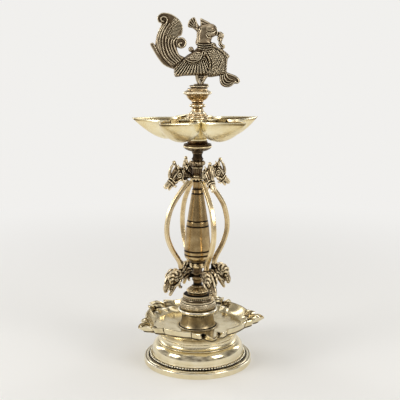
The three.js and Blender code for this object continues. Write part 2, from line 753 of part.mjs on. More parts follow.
function studGeometry() {
  const length = finialStudInHub + pedestalHeight + birdPlateHeight - 1.5;
  const stud = new THREE.CylinderGeometry(finialStudRadius, finialStudRadius, length, smallSides);
  return stud.rotateX(Math.PI / 2).translate(0, 0, length / 2);
}

// Base
place('foot', footGeometry(), polishedBrass, 0);
place('foot_collar', neckGeometry(), paleBrass, neckSeat);
place('tray', trayGeometry(), polishedBrass, traySeat);

// Stem
place('tie_rod', rodGeometry(), steel, discSeat - rodInTray);
place('base_disc', discGeometry(), paleBrass, discSeat);
place('granulated_ring', grainRingGeometry(), antiqueBrass, grainSeat);
place('stepped_ring', stepRingGeometry(), antiqueBrass, stepSeat);
place('lotus_bell', lotusGeometry(), antiqueBrass, lotusSeat);
place('mask_collar', maskCollarGeometry(), antiqueBrass, maskSeat);
place('arm_block', blockGeometry(), paleBrass, blockSeat);
place('column', columnGeometry(), polishedBrass, columnSeat);
place('clasp_collar', claspGeometry(), paleBrass, claspSeat);
place('head_collar', headCollarGeometry(), antiqueBrass, headCollarSeat);
place('lobed_knob', knobGeometry(), antiqueBrass, knobSeat);
place('drip_pan', bobecheGeometry(), antiqueBrass, bobecheSeat);

// Arms with their heads and masks
for (let i = 0; i < armCount; i += 1) {
  const quarter = turnedGroup(armTurn + (360 / armCount) * i);
  place(`arm_${i + 1}`, armGeometry(), polishedBrass, 0, quarter);
  place(`horse_head_${i + 1}`, horseGeometry(), antiqueBrass, claspSeat, quarter);
  place(`lion_mask_${i + 1}`, maskGeometry(), antiqueBrass, maskSeat, quarter);
}

// Cups
place('cup_hub', hubGeometry(), paleBrass, hubSeat);
for (let i = 0; i < cupCount; i += 1) {
  const fifth = turnedGroup(cupTurn + (360 / cupCount) * i);
  place(`oil_cup_${i + 1}`, cupGeometry(), paleBrass, pedestalSeat + cupRimOverHub, fifth);
}

// Finial
place('finial_pedestal', pedestalGeometry(), goldBrass, pedestalSeat);
place('finial_stud', studGeometry(), steel, pedestalSeat - finialStudInHub);
place('peacock', peacockGeometry(), antiqueBrass, birdSeat + birdPlateHeight);

export default lamp;
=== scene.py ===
import json
import math
from itertools import pairwise

import bpy
import numpy as np
from mathutils import Matrix, Vector


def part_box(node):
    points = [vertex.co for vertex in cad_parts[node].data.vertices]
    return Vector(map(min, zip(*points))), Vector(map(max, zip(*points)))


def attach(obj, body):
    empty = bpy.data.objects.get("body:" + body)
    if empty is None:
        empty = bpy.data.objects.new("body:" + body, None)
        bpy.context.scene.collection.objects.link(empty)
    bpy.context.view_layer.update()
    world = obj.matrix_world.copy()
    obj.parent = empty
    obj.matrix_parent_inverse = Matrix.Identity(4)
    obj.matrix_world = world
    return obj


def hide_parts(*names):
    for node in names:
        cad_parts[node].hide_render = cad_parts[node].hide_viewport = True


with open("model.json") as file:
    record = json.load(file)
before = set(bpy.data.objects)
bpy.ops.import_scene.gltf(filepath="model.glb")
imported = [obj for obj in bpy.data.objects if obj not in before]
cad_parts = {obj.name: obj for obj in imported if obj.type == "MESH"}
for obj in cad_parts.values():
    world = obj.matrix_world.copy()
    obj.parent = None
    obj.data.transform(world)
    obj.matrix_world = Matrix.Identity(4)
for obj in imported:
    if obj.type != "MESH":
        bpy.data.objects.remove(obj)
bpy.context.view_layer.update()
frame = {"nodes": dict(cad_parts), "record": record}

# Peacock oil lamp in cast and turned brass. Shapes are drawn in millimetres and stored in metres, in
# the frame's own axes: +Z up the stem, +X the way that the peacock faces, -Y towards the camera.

MM = 0.001
TAU = 2 * math.pi

# The photograph's camera: its distance and height, its tilt down, and its lens for a square frame
CAMERA_BACK = 1237
CAMERA_SIDE = 3.9
CAMERA_HEIGHT = 499.6
CAMERA_TILT = 10.64
LENS = 70.92

# The worn, plain and dull colours of each metal, as linear light
GOLD = ((0.92, 0.82, 0.60), (0.66, 0.45, 0.21), (0.26, 0.165, 0.08))
SILVER = ((0.93, 0.87, 0.71), (0.80, 0.69, 0.44), (0.42, 0.33, 0.19))
BROWN = ((0.86, 0.71, 0.44), (0.43, 0.30, 0.14), (0.18, 0.112, 0.05))
HONEY = ((0.92, 0.79, 0.52), (0.72, 0.55, 0.30), (0.34, 0.23, 0.11))
UMBER = ((0.84, 0.71, 0.48), (0.21, 0.145, 0.078), (0.065, 0.04, 0.02))
LEMON = ((0.95, 0.86, 0.60), (0.83, 0.68, 0.37), (0.40, 0.29, 0.13))
CAST = ((0.78, 0.67, 0.47), (0.22, 0.16, 0.098), (0.07, 0.045, 0.025))
SMOKE = ((0.86, 0.71, 0.44), (0.21, 0.145, 0.078), (0.05, 0.022, 0.009))
GREY = ((0.6, 0.6, 0.6), (0.45, 0.45, 0.45), (0.3, 0.3, 0.3))
SOOT = (0.012, 0.009, 0.006)

# The room's colours, with their opacity
FLOOR_WHITE = (0.90, 0.89, 0.87, 1)
BACKDROP = (0.88, 0.87, 0.85, 1)
STUDIO_DARK = (0.10, 0.09, 0.08, 1)
STUDIO_PALE = (0.60, 0.58, 0.55, 1)
FILL = (0.4, 0.395, 0.38, 1)
LAMP_TINT = (1, 0.985, 0.96)


# Places taken from the frame

BODY = {node: body for body, nodes in frame["record"]["behaviour"]["bodies"].items() for node in nodes}


def seat(node):
    """The height in millimetres at which a node starts."""
    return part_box(node)[0].z / MM


def top(node):
    """The height in millimetres at which a node ends."""
    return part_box(node)[1].z / MM


def plan(node):
    """A node's corners seen from above, and their distances from the stem's axis, in metres."""
    corners = np.array([v.co[:2] for v in frame["nodes"][node].data.vertices])
    return corners, np.hypot(*corners.T)


def reach(node):
    """A node's largest distance from the stem's axis, in millimetres."""
    return float(plan(node)[1].max()) / MM


def bearing(node):
    """The angle in radians at which a node stands round the stem, from its outermost points."""
    corners, distances = plan(node)
    outermost = corners[distances > 0.985 * distances.max()].mean(0)
    return math.atan2(outermost[1], outermost[0])


# Finishes: a small language for the shaders' arithmetic

class Wire:
    """One value of a finish. Arithmetic on it adds the nodes that work it out."""

    def __init__(self, board, socket):
        self.board = board
        self.socket = socket

    def maths(self, operation, *values):
        return self.board.node("Math", dict(enumerate(values)), operation=operation)

    def __add__(self, other):
        return self.maths("ADD", self, other)

    def __sub__(self, other):
        return self.maths("SUBTRACT", self, other)

    def __rsub__(self, other):
        return self.maths("SUBTRACT", other, self)

    def __mul__(self, other):
        return self.maths("MULTIPLY", self, other)

    def between(self, low, high):
        """0 below low, 1 above high, and a soft step from one to the other."""
        values = {"Value": self, "From Min": low, "From Max": high}
        return self.board.node("MapRange", values, interpolation_type="SMOOTHSTEP")


class Board:
    """The node board of a material or of the world, with its shader."""

    def __init__(self, owner):
        self.owner = owner
        owner.use_nodes = True
        self.tree = owner.node_tree
        self.shader = self.tree.nodes.get("Principled BSDF") or self.tree.nodes["Background"]

    def node(self, kind, values=None, out=0, **settings):
        """Adds a node: its settings come first, then the numbers or wires of its sockets."""
        node = self.tree.nodes.new("ShaderNode" + kind)
        for key, value in settings.items():
            setattr(node, key, value)
        self.feed(node, values or {})
        return Wire(self, node.outputs[out])

    def feed(self, node, values):
        for key, value in values.items():
            if isinstance(value, Wire):
                self.tree.links.new(value.socket, node.inputs[key])
            else:
                node.inputs[key].default_value = value

    def ramp(self, value, stops):
        """The colour that a value picks from a ramp of stops, each a place and a colour."""
        picked = self.node("ValToRGB", {"Fac": value})
        elements = picked.socket.node.color_ramp.elements
        while len(elements) < len(stops):
            elements.new(1)
        for element, (place, colour) in zip(elements, stops):
            element.position = place
            element.color = (*colour, 1)
        return picked

    def noise(self, size, detail, rough=0.55):
        """Cloudy values round 0.5, whose blotches are about that many millimetres across."""
        here = self.node("TexCoord", out="Object")
        return self.node("TexNoise", {"Vector": here, "Scale": 1 / (size * MM), "Detail": detail,
                                      "Roughness": rough})

    def blend(self, share, low, high):
        """A colour between two others."""
        return self.node("Mix", {0: share, 6: low, 7: high}, out=2, data_type="RGBA")

    def part_of(self, vector, axis):
        return self.node("SeparateXYZ", {"Vector": vector}, out=axis)

    def ray(self, kind):
        """1 for the rays of a kind, and 0 for the others."""
        return self.node("LightPath", out=f"Is {kind} Ray")


def brass(name, tones, dirt, polish, pits, pit_size=1.6):
    """Brass whose hollows hold dark patina and whose edges are worn bright. dirt is how soon the hollows
    darken, how cloudy the dull film is and how far it has spread; polish is the roughness on worn and on
    dark metal; pits is the depth of the casting's skin, and pit_size the breadth of its pits."""
    board = Board(bpy.data.materials.new(name))
    worn, face, dull = tones
    hold, film, spread = dirt
    bright, rough = polish
    # The attribute read here darkens hollows with patina, and for some pieces also carries painted shade and
    # a painted dark reflection.
    hollow_and_shade = board.node("Attribute", out="Fac", attribute_name="hollow_and_shade")
    clouds = board.noise(14, 4) - 0.5
    specks = board.noise(1.3, 5, 0.7) - 0.5
    depth = hollow_and_shade * hold + clouds * film + specks * film * 0.6 + spread
    smudge = (board.noise(5, 5, 0.6) - 0.5) * (bright * 0.8)
    skin = {"Height": board.noise(pit_size, 4, 0.6), "Strength": 0.6, "Distance": pits * MM}
    board.feed(board.shader, {
        "Base Color": board.ramp(depth, [(0.06, worn), (0.36, face), (0.56, dull), (0.78, SOOT)]),
        "Roughness": depth.between(0.3, 0.8) * (rough - bright) + smudge + bright,
        "Normal": board.node("Bump", skin, out="Normal"),
        "Metallic": 1,
    })
    return board.owner


POLISHED = brass("polished_brass", SILVER, (2.4, 0.4, 0.35), (0.16, 0.5), 0.012, 4)
HONEYED = brass("honey_brass", HONEY, (2.4, 0.4, 0.38), (0.24, 0.5), 0.02, 4)
SATIN = brass("satin_brass", SILVER, (2.4, 0.3, 0.28), (0.26, 0.5), 0.02, 4)
BURNISHED = brass("burnished_brass", BROWN, (3, 0.5, 0.4), (0.22, 0.5), 0.02, 3)
PALE = brass("pale_brass", LEMON, (2.4, 0.5, 0.37), (0.32, 0.5), 0.08, 2.6)
GOLDEN = brass("golden_brass", GOLD, (3.4, 0.3, 0.22), (0.24, 0.55), 0.05, 2.2)
ANTIQUE = brass("antique_brass", CAST, (3.6, 0.4, 0.38), (0.34, 0.6), 0.06, 1.4)
DARKENED = brass("darkened_brass", UMBER, (6, 0.5, 0.57), (0.3, 0.6), 0.05, 1.4)
SOOTED = brass("sooted_brass", SMOKE, (3.6, 0.5, 0.5), (0.32, 0.6), 0.05, 1.6)
STEEL = brass("threaded_steel", GREY, (1, 0.3, 0.4), (0.3, 0.5), 0.05)


# Shapes, each a pair: points in millimetres, and faces as lists of corners

def grid_faces(rows, columns, wrap_rows=False, wrap_columns=False):
    """The faces of a sheet of points laid out in rows and columns."""
    i = np.arange(rows if wrap_rows else rows - 1)[:, None]
    j = np.arange(columns if wrap_columns else columns - 1)[None, :]
    below, beside = (i + 1) % rows, (j + 1) % columns
    corners = [i * columns + j, i * columns + beside, below * columns + beside, below * columns + j]
    return np.stack(np.broadcast_arrays(*corners), -1).reshape(-1, 4).tolist()


def flipped(faces):
    return [face[::-1] for face in faces]


def joined(*shapes):
    """Several shapes as one."""
    points, faces, start = [], [], 0
    for shape_points, shape_faces in shapes:
        points.append(shape_points)
        faces += [[corner + start for corner in face] for face in shape_faces]
        start += len(shape_points)
    return np.concatenate(points), faces


def moved(shape, offset):
    return shape[0] + np.array(offset), shape[1]


def swung(shape, angle):
    """A shape turned about the stem's axis."""
    cos, sin = math.cos(angle), math.sin(angle)
    return shape[0] @ np.array([[cos, sin, 0], [-sin, cos, 0], [0, 0, 1]]), shape[1]


def mirrored(shape):
    """A shape and its twin on the other side of the plane y = 0."""
    return joined(shape, (shape[0] * np.array([1, -1, 1]), flipped(shape[1])))


def even_turn(count):
    """Angles spread evenly round a circle."""
    return np.arange(count) * TAU / count


def smoothed(mesh):
    mesh.polygons.foreach_set("use_smooth", np.ones(len(mesh.polygons), bool))
    return mesh


def mesh_of(name, shape):
    mesh = bpy.data.meshes.new(name)
    mesh.from_pydata((shape[0] * MM).tolist(), [], shape[1])
    return smoothed(mesh)


def placed(name, data):
    """A new object in the scene."""
    thing = bpy.data.objects.new(name, data)
    bpy.context.scene.collection.objects.link(thing)
    return thing


# Dirt, wear and painted shade, as functions that say how much of it lies on each of many spots

def rings(*places, heavy=0.45):
    """Dirt that lies in rings round the stem, each at a radius and a height and of a width."""
    def dirt(spots):
        out = np.hypot(spots[:, 0], spots[:, 1])
        return sum(heavy * np.exp(-((out - r) ** 2 + (spots[:, 2] - z) ** 2) / w**2) for r, z, w in places)
    return dirt


def inner(low, high, heavy):
    """A tone that deepens towards the stem, from a high radius in to a low one."""
    def dirt(spots):
        return heavy * np.clip((high - np.hypot(spots[:, 0], spots[:, 1])) / (high - low), 0, 1)
    return dirt


def summed(*dirts):
    """Several kinds of dirt as one."""
    def dirt(spots):
        return sum(one(spots) for one in dirts)
    return dirt


def bell(away, width):
    """1 in the middle of a line, falling off softly over a width."""
    return np.exp(-((away / width) ** 2))


def read(items, key, width, kind=float):
    """One property of many mesh items, a row for each."""
    values = np.zeros(len(items) * width, kind)
    items.foreach_get(key, values)
    return values.reshape(-1, width)


def mark_hollows(mesh, passes, dirt=None):
    """Notes on each point how far it lies under the smoothed surface, in millimetres, and adds dirt, which on
    the tray and the cups also holds painted shade and a painted dark reflection.
    """
    spots = read(mesh.vertices, "co", 3)
    count = len(spots)
    one, other = read(mesh.edges, "vertices", 2, np.int32).T
    neighbours = np.maximum(np.bincount(one, minlength=count) + np.bincount(other, minlength=count), 1)
    smooth = spots.copy()
    for _ in range(passes):
        total = [np.bincount(one, smooth[other, k], count) + np.bincount(other, smooth[one, k], count)
                 for k in range(3)]
        smooth += 0.5 * (np.stack(total, 1) / neighbours[:, None] - smooth)
    hollow_and_shade = ((smooth - spots) * read(mesh.vertices, "normal", 3)).sum(1) / MM
    if dirt:
        hollow_and_shade += dirt(spots / MM)
    # The stored values include painted shade and a painted dark reflection where the dirt holds them.
    mesh.attributes.new("hollow_and_shade", "FLOAT", "POINT").data.foreach_set("value", hollow_and_shade.astype(np.float32))


def cast(name, shape, voxel):
    """Fuses overlapping shapes into one skin, as a casting has."""
    rough = placed(name + "_rough", mesh_of(name + "_rough", shape))
    skin = rough.modifiers.new("skin", "REMESH")
    skin.mode = "VOXEL"
    skin.voxel_size = voxel * MM
    mesh = bpy.data.meshes.new_from_object(rough.evaluated_get(bpy.context.evaluated_depsgraph_get()))
    mesh.name = name
    bpy.data.objects.remove(rough)
    return smoothed(mesh)


def show(name, mesh, finish, node, passes=6, dirt=None):
    """Puts a piece in place of its node, on the node's body and with its material slot."""
    mark_hollows(mesh, passes, dirt)
    mesh.materials.clear()
    mesh.materials.append(finish)
    piece = placed(name, mesh)
    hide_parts(node)
    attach(piece, BODY[node])


# Turned pieces

BORE = 4.3
TOP = math.inf

# Corners of a section sharper than CREASE are eased, and what lies within HIDDEN of the axis stays coarse
CREASE = math.radians(24)
HIDDEN = 5

# The size of the voxels that fuse a casting's shapes
HEAD_VOXEL = 0.42
MASK_VOXEL = 0.45
BIRD_VOXEL = 0.42


def quadratic(start, by, to, count):
    """Places along a curve that leaves start towards by and ends at to."""
    t = np.linspace(0, 1, count)[:, None]
    return (1 - t) ** 2 * np.array(start) + 2 * t * (1 - t) * np.array(by) + t * t * np.array(to)


def soft_step(values, low, high):
    t = np.clip((values - low) / (high - low), 0, 1)
    return t * t * (3 - 2 * t)


class Section:
    """Half of a turned piece cut through its axis, drawn from place to place in millimetres. A place is a
    radius and a height. With two more numbers it is the end of a bead, which stands out by the first and
    has that many steps. With three more it is what a curve leaves towards: the next two are the curve's
    end, and the last its steps.
    A radius over 0 is measured from the axis, and any other in from the node's reach. A height under 0
    is measured down from the node's top, TOP is the top itself, and any other goes up from its seat.
    extent stands in for the node's reach, seat and top."""

    def __init__(self, node, *places, extent=None):
        self.node = node
        self.reach, self.seat, self.top = extent or (reach(node), seat(node), top(node))
        self.points = []
        for place in places:
            {2: self.line, 4: self.bead, 5: self.curve}[len(place)](*place)

    def level(self, height):
        if height == TOP:
            return self.top
        return height + (self.top if height < 0 else self.seat)

    def at(self, radius, height):
        return radius if radius > 0 else self.reach + radius, self.level(height)

    def line(self, radius, height):
        self.points.append(self.at(radius, height))

    def curve(self, by_radius, by_height, radius, height, steps):
        by = self.at(by_radius, by_height)
        self.points += quadratic(self.points[-1], by, self.at(radius, height), steps + 1)[1:].tolist()

    def bead(self, radius, height, out, steps):
        start = np.array(self.points[-1])
        run = np.array(self.at(radius, height)) - start
        away = np.array([run[1], -run[0]]) / np.hypot(*run)
        t = np.linspace(0, math.pi, steps + 1)[1:, None]
        self.points += (start + run * (1 - np.cos(t)) / 2 + away * out * np.sin(t)).tolist()

    def rings(self, *places, heavy=0.45):
        return rings(*((*self.at(radius, height), width) for radius, height, width in places), heavy=heavy)

    def pearls(self, count, size, radius, height):
        """A row of beads round the piece."""
        ring, z = self.at(radius, height)
        one = ball(size, sides=8, rows=6)
        return joined(*(swung(moved(one, (ring, 0, z)), angle) for angle in even_turn(count)))

    def band(self, height, low, high, fade):
        """1 between two heights and 0 outside them."""
        low, high = self.level(low), self.level(high)
        return soft_step(height, low, low + fade) * (1 - soft_step(height, high - fade, high))

    def lobes(self, *rows, turn=0.0):
        """Carves rows of upright lobes, round outside and with creases between them. Each row is a count,
        a depth, the heights that it runs between, how softly it ends and how sharp its creases are."""
        def carve(radius, height, angles):
            for count, depth, low, high, fade, sharp in rows:
                wave = np.abs(np.cos(count * (angles - turn) / 2)) ** sharp
                radius = radius - depth * (1 - wave) * self.band(height, low, high, fade) * (radius > 6)
            return radius, height
        return carve

    def outline(self, ease, step):
        """The section with its corners eased and its long runs divided."""
        points = np.array(self.points)
        eased = []
        for before, here, after in zip(np.roll(points, 1, 0), points, np.roll(points, -1, 0)):
            into, away = here - before, after - here
            span = min(np.hypot(*into), np.hypot(*away))
            into, away = into / np.hypot(*into), away / np.hypot(*away)
            bend = math.acos(max(-1, min(1, float(into @ away))))
            if bend < CREASE or here[0] < HIDDEN:
                eased.append(here)
                continue
            cut = min(ease * math.tan(bend / 2), span * 0.42)
            hold = min(cut * 1.3, span * 0.48)
            corner = quadratic(here - into * cut, here, here + away * cut, 5)
            eased += [here - into * hold, *corner, here + away * hold]
        fine = []
        for here, after in pairwise([*eased, eased[0]]):
            hidden = here[0] < HIDDEN and after[0] < HIDDEN
            parts = 1 if hidden else max(1, math.ceil(np.hypot(*(after - here)) / step))
            fine += [here + (after - here) * k / parts for k in range(parts)]
        return np.array(fine)

    def turned(self, sides=128, ease=0.3, step=1.0, carve=None, angles=None):
        """Turns the section about the stem's axis. carve may change radii and heights round it."""
        outline = self.outline(ease, step)
        if angles is None:
            angles = even_turn(sides)
        radius = np.repeat(outline[:, :1], len(angles), 1)
        height = np.repeat(outline[:, 1:], len(angles), 1)
        if carve:
            radius, height = carve(radius, height, angles[None, :])
        points = np.stack([radius * np.cos(angles), radius * np.sin(angles), height], -1)
        return points.reshape(-1, 3), grid_faces(len(outline), len(angles), True, True)

    def show(self, way, finish, passes=6, dirt=None, more=(), **turning):
        """Turns the section, adds more shapes, and puts the piece in place of its node."""
        name = f"{self.node}_{way}"
        shape = joined(self.turned(**turning), *more)
        show(name, mesh_of(name, shape), finish, self.node, passes, dirt)


def groove(radius, height, after):
    """A fine cut round a piece, from a radius under it to another above it."""
    return ((radius, height - 1), (radius - 0.8, height - 0.5), (after - 0.8, height + 0.5),
            (after, height + 1))


def ball(radius, centre=(0, 0, 0), scale=(1, 1, 1), sides=10, rows=7):
    """A ball, or an egg where it is scaled."""
    down = np.linspace(0, math.pi, rows + 1)[1:-1][:, None]
    around = even_turn(sides)[None, :]
    belts = np.stack([np.sin(down) * np.cos(around), np.sin(down) * np.sin(around),
                      np.cos(down) + 0 * around], -1).reshape(-1, 3)
    points = np.concatenate([belts, [[0, 0, 1], [0, 0, -1]]])
    sheet = flipped(grid_faces(rows - 1, sides, wrap_columns=True))
    crown, sole = len(belts), len(belts) + 1
    last = (rows - 2) * sides
    for j in range(sides):
        after = (j + 1) % sides
        sheet += [[crown, j, after], [sole, last + after, last + j]]
    return points * radius * np.array(scale) + np.array(centre), sheet


# Bars: cast pieces drawn along a smooth line

def smooth_line(points, parts):
    """A smooth line through points, with that many parts between each two."""
    points = np.array(points, float)
    ends = np.concatenate([[2 * points[0] - points[1]], points, [2 * points[-1] - points[-2]]])
    t = (np.arange(parts) / parts)[:, None]
    runs = [0.5 * (2 * b + (c - a) * t + (2 * a - 5 * b + 4 * c - d) * t**2 + (3 * b - a - 3 * c + d) * t**3)
            for a, b, c, d in zip(ends, ends[1:], ends[2:], ends[3:])]
    return np.concatenate([*runs, points[-1:]])


def frames(line):
    """Along a line: which way it runs, and two directions square to that, the first of them near Y."""
    run = np.gradient(line, axis=0)
    run /= np.linalg.norm(run, axis=1, keepdims=True)
    side = np.array([0, 1, 0]) - run * run[:, 1:2]
    side /= np.linalg.norm(side, axis=1, keepdims=True)
    return run, side, np.cross(side, run)


def bar(places, flat=1.0, sides=16):
    """A bar with domed ends through places, each a point and the bar's radius there. flat is its breadth
    along Y as a share of its depth."""
    drawn = smooth_line(places, 6)
    line, sizes = drawn[:, :3], drawn[:, 3]
    run, side, out = frames(line)
    dome = np.array([0.95, 0.75, 0.45])
    shrink = np.sqrt(1 - dome**2)
    start = line[0] - run[0] * (sizes[0] * dome)[:, None]
    finish = line[-1] + run[-1] * (sizes[-1] * dome[::-1])[:, None]
    line = np.concatenate([start, line, finish])
    sizes = np.concatenate([sizes[0] * shrink, sizes, sizes[-1] * shrink[::-1]])
    side, out = (np.pad(way, ((3, 3), (0, 0)), "edge") for way in (side, out))
    angles = even_turn(sides)[:, None]
    ring = out[:, None] * np.cos(angles) + side[:, None] * (flat * np.sin(angles))
    last = (len(line) - 1) * sides
    faces = grid_faces(len(line), sides, wrap_columns=True)
    faces += [list(range(sides))[::-1], [last + k for k in range(sides)]]
    return (line[:, None] + ring * sizes[:, None, None]).reshape(-1, 3), faces


def spine(places, flat=1.0):
    """A bar in the plane y = 0, its places without their y."""
    return bar([(x, 0, z, radius) for x, z, radius in places], flat)


def hoop(centre, axes, radius, wire, flat=1.0, sides=28, round_sides=10):
    """A ring of wire. axes are the two directions that it lies in, and the one that runs through it."""
    out, side, run = axes
    around = even_turn(sides)[:, None]
    small = even_turn(round_sides)[:, None]
    spoke = out * np.cos(around) + side * flat * np.sin(around)
    away = out * np.cos(around) + side * np.sin(around)
    skin = away[:, None] * np.cos(small) + run * np.sin(small)
    points = (np.array(centre) + spoke * radius)[:, None] + skin * wire
    return points.reshape(-1, 3), grid_faces(sides, round_sides, True, True)


def strap(centre, run, radius, wire, flat):
    """A hoop round a line in the plane y = 0."""
    run = np.array(run) / np.linalg.norm(run)
    return hoop(centre, (np.cross([0, 1, 0], run), np.array([0, 1, 0]), run), radius, wire, flat)


def eye(x, y, z, size, radius, wire, bulge=0.0):
    """A ball in a ring, on the side of a head."""
    return [hoop((x, y, z), np.eye(3)[[0, 2, 1]], radius, wire, 1, 20, 8), ball(size, (x, y + bulge, z))]


# Flat castings, worked in relief on both sides

class Relief:
    """Half the thickness of the peacock's flat casting over a grid of places in the XZ plane."""

    step = 0.42

    def __init__(self):
        self.x, self.z = np.meshgrid(np.arange(-76, 70, self.step), np.arange(-6, 113, self.step))
        self.half = np.zeros(self.x.shape)
        self.inside = np.full(self.x.shape, -20.0)

    def window(self, line, margin):
        """The part of the grid round a line."""
        low, high = np.min(line, 0) - margin, np.max(line, 0) + margin
        columns = np.searchsorted(self.x[0], (low[0], high[0]))
        rows = np.searchsorted(self.z[:, 0], (low[1], high[1]))
        return slice(*rows), slice(*columns)

    def distance(self, line, area):
        """How far each place in an area lies from a line."""
        x, z = self.x[area], self.z[area]
        best = np.full(x.shape, 1e9)
        for (ax, az), (bx, bz) in pairwise(line):
            length = math.hypot(bx - ax, bz - az) or 1e-9
            share = np.clip(((x - ax) * (bx - ax) + (z - az) * (bz - az)) / length**2, 0, 1)
            best = np.minimum(best, np.hypot(x - ax - share * (bx - ax), z - az - share * (bz - az)))
        return best

    def within(self, outline, area):
        """How deep each place in an area lies inside a closed outline, negative outside it."""
        line = np.array([*outline, outline[0]])
        depth = self.distance(line, area)
        x, z = self.x[area], self.z[area]
        crossings = np.zeros(x.shape, bool)
        for (ax, az), (bx, bz) in pairwise(line):
            if az != bz:
                spans = (az > z) != (bz > z)
                crossings ^= spans & (x < (bx - ax) * (z - az) / (bz - az) + ax)
        return np.where(crossings, depth, -depth)

    def pad(self, points, half, edge, smooth=True):
        """Adds a pad of a half thickness with edges rounded over a width."""
        outline = round_trip(points) if smooth else np.array(points, float)
        area = self.window(outline, 4)
        depth = self.within(outline, area)
        self.inside[area] = np.maximum(self.inside[area], depth)
        swell = half * np.sqrt(np.clip(1 - (1 - np.clip(depth / edge, 0, 1)) ** 2, 0, 1))
        self.half[area] = np.maximum(self.half[area], swell)

    def dome(self, centre, radii, rise):
        """Raises a soft dome on what is there already."""
        spread = ((self.x - centre[0]) / radii[0]) ** 2 + ((self.z - centre[1]) / radii[1]) ** 2
        self.half += np.where(self.inside > 0, rise * np.clip(1 - spread, 0, 1) ** 1.3, 0)

    def rib(self, points, width, rise, smooth=True):
        """Raises a rounded rib along a line, or sinks a groove where rise is negative."""
        line = smooth_line(points, 5) if smooth else np.array(points, float)
        area = self.window(line, width)
        shape = np.clip(1 - (self.distance(line, area) / width) ** 2, 0, 1)
        self.half[area] = np.where(self.half[area] > 0.4, self.half[area] + rise * shape, self.half[area])

    def ribs(self, *rows):
        """Ribs and grooves one after another, each a line, a width and a rise."""
        for row in rows:
            self.rib(*row)

    def mesh(self):
        """Both sides as one closed shape, with its rim drawn out to the outline."""
        slope_z, slope_x = np.gradient(self.inside, self.step)
        steep = np.maximum(np.hypot(slope_x, slope_z), 0.3)
        solid = self.inside > 0
        near = np.zeros(solid.shape, bool)
        rows, columns = solid.shape
        for i in range(3):
            for j in range(3):
                near[1:-1, 1:-1] |= solid[i:rows - 2 + i, j:columns - 2 + j]
        rim = near & ~solid
        shift = np.where(rim, np.clip(-self.inside, 0, 1.2 * self.step), 0) / steep
        x, z = self.x + slope_x * shift / steep, self.z + slope_z * shift / steep
        half = np.where(solid, np.maximum(self.half, 0.25), 0)
        used = solid | rim
        cells = used[:-1, :-1] & used[1:, :-1] & used[:-1, 1:] & used[1:, 1:]
        cells &= solid[:-1, :-1] | solid[1:, :-1] | solid[:-1, 1:] | solid[1:, 1:]
        row, column = np.nonzero(cells)
        first = row * columns + column
        front = np.stack([first, first + 1, first + columns + 1, first + columns], 1)
        numbers = np.arange(x.size)
        back = np.where(rim.ravel(), numbers, numbers + x.size)[front][:, ::-1]
        points = np.concatenate([np.stack([x, -half, z], -1).reshape(-1, 3),
                                 np.stack([x, half, z], -1).reshape(-1, 3)])
        faces = np.concatenate([front, back])
        kept, renumbered = np.unique(faces, return_inverse=True)
        return points[kept], renumbered.reshape(faces.shape).tolist()


def round_trip(points, parts=5):
    """A smooth closed line through points."""
    return smooth_line([points[-1], *points, points[0], points[1]], parts)[parts:-parts - 1]


def marks_between(first, last, count):
    """Evenly spaced places along two lines, paired off."""
    def spread(points):
        line = smooth_line(points, 6)
        walked = np.concatenate([[0], np.cumsum(np.hypot(*np.diff(line, axis=0).T))])
        places = np.linspace(0, walked[-1], count)
        return np.stack([np.interp(places, walked, line[:, k]) for k in range(2)], 1)
    return zip(spread(first), spread(last))


# Base

def foot():
    section = Section(
        "foot", (-8, 0), (0, 0), (0, 7.6), (0, 9.6, -2.6, 9.6, 5), (-3.4, 8.7), (-7.4, 9.6, 1.5, 10),
        (-8, 8.8), (-9, 10.2), (-9.6, 9.6), (-12.6, 11.4), (-13, 12.6), (-12.8, 14.2), (-13.3, 18),
        (-13.3, -4.2, -22.6, -1, 14), (-22.6, TOP), (12.3, TOP), (12.3, -14), (19, -14), (19, -4.5),
        (-28, -4.5), (-17.5, 18), (-16, 8), (-8, 5))
    beads = section.pearls(104, 1.7, -11.1, 12.1)
    dirt = section.rings((-3.2, 8.9, 0.7), (-8.2, 9, 0.9), (-12.8, 12.2, 1.2), (-11.1, 10.6, 1.7), heavy=0.42)
    section.show("turned", POLISHED, 3, dirt, [beads], sides=200, ease=0.45)


def foot_collar():
    section = Section("foot_collar", (-6, 0), (0, 0), (-0.2, 0.9), (-3.4, 3, -3.6, -1.6, 8), (-3.2, TOP),
                      (-12, TOP))
    section.show("turned", SATIN, 3, section.rings((0, 0, 0.9), heavy=0.35), sides=200)


# The tray in millimetres, and its leaf-shaped spouts, whose places are in degrees off a spout's middle
SPOUTS = 5
SPOUT_PITCH = 360 / SPOUTS
SPOUT_TURN = math.radians(-4.5)
TRAY_RIM = 86
RIM_HEIGHT = 32
BAND_HEIGHT = 21
LEAF_SPREAD = 20
NOTCH_PLACE = 8.1
NOTCH_DEPTH = 7
NOTCH_HALF = 2.5
KEEL = 0.66


def leaf_edge():
    """Half of a spout's edge seen from above, as degrees off its middle and distances from the axis."""
    middle = quadratic((110, 0), (108, 8), (91, 11.2), 12)
    side = quadratic((93, 14.5), (94.6, 17.6), (95, 20), 5)
    end = quadratic((95, 20), (90, 26), (80.8, 29.45), 8)
    edge = np.concatenate([middle, side, end])
    return np.degrees(np.arctan2(edge[:, 1], edge[:, 0])), np.hypot(*edge.T)


def drawn_out(away):
    """How far the rim is drawn out beyond its round, at that many degrees off a spout's middle."""
    degrees, distances = leaf_edge()
    return np.interp(away, degrees, distances, right=TRAY_RIM) - TRAY_RIM


def off_spout(angles):
    """How many degrees each angle is away from the nearest spout's middle."""
    return np.abs((np.degrees(angles - SPOUT_TURN) + SPOUT_PITCH / 2) % SPOUT_PITCH - SPOUT_PITCH / 2)


def spout_angles():
    """Angles round the tray, close together along the spouts."""
    edge = LEAF_SPREAD + 1.2
    one = np.radians(np.concatenate([np.arange(-edge, edge, 0.3), np.arange(edge, SPOUT_PITCH - edge, 1.6)]))
    return np.concatenate([one + SPOUT_TURN + math.radians(SPOUT_PITCH * k) for k in range(SPOUTS)])


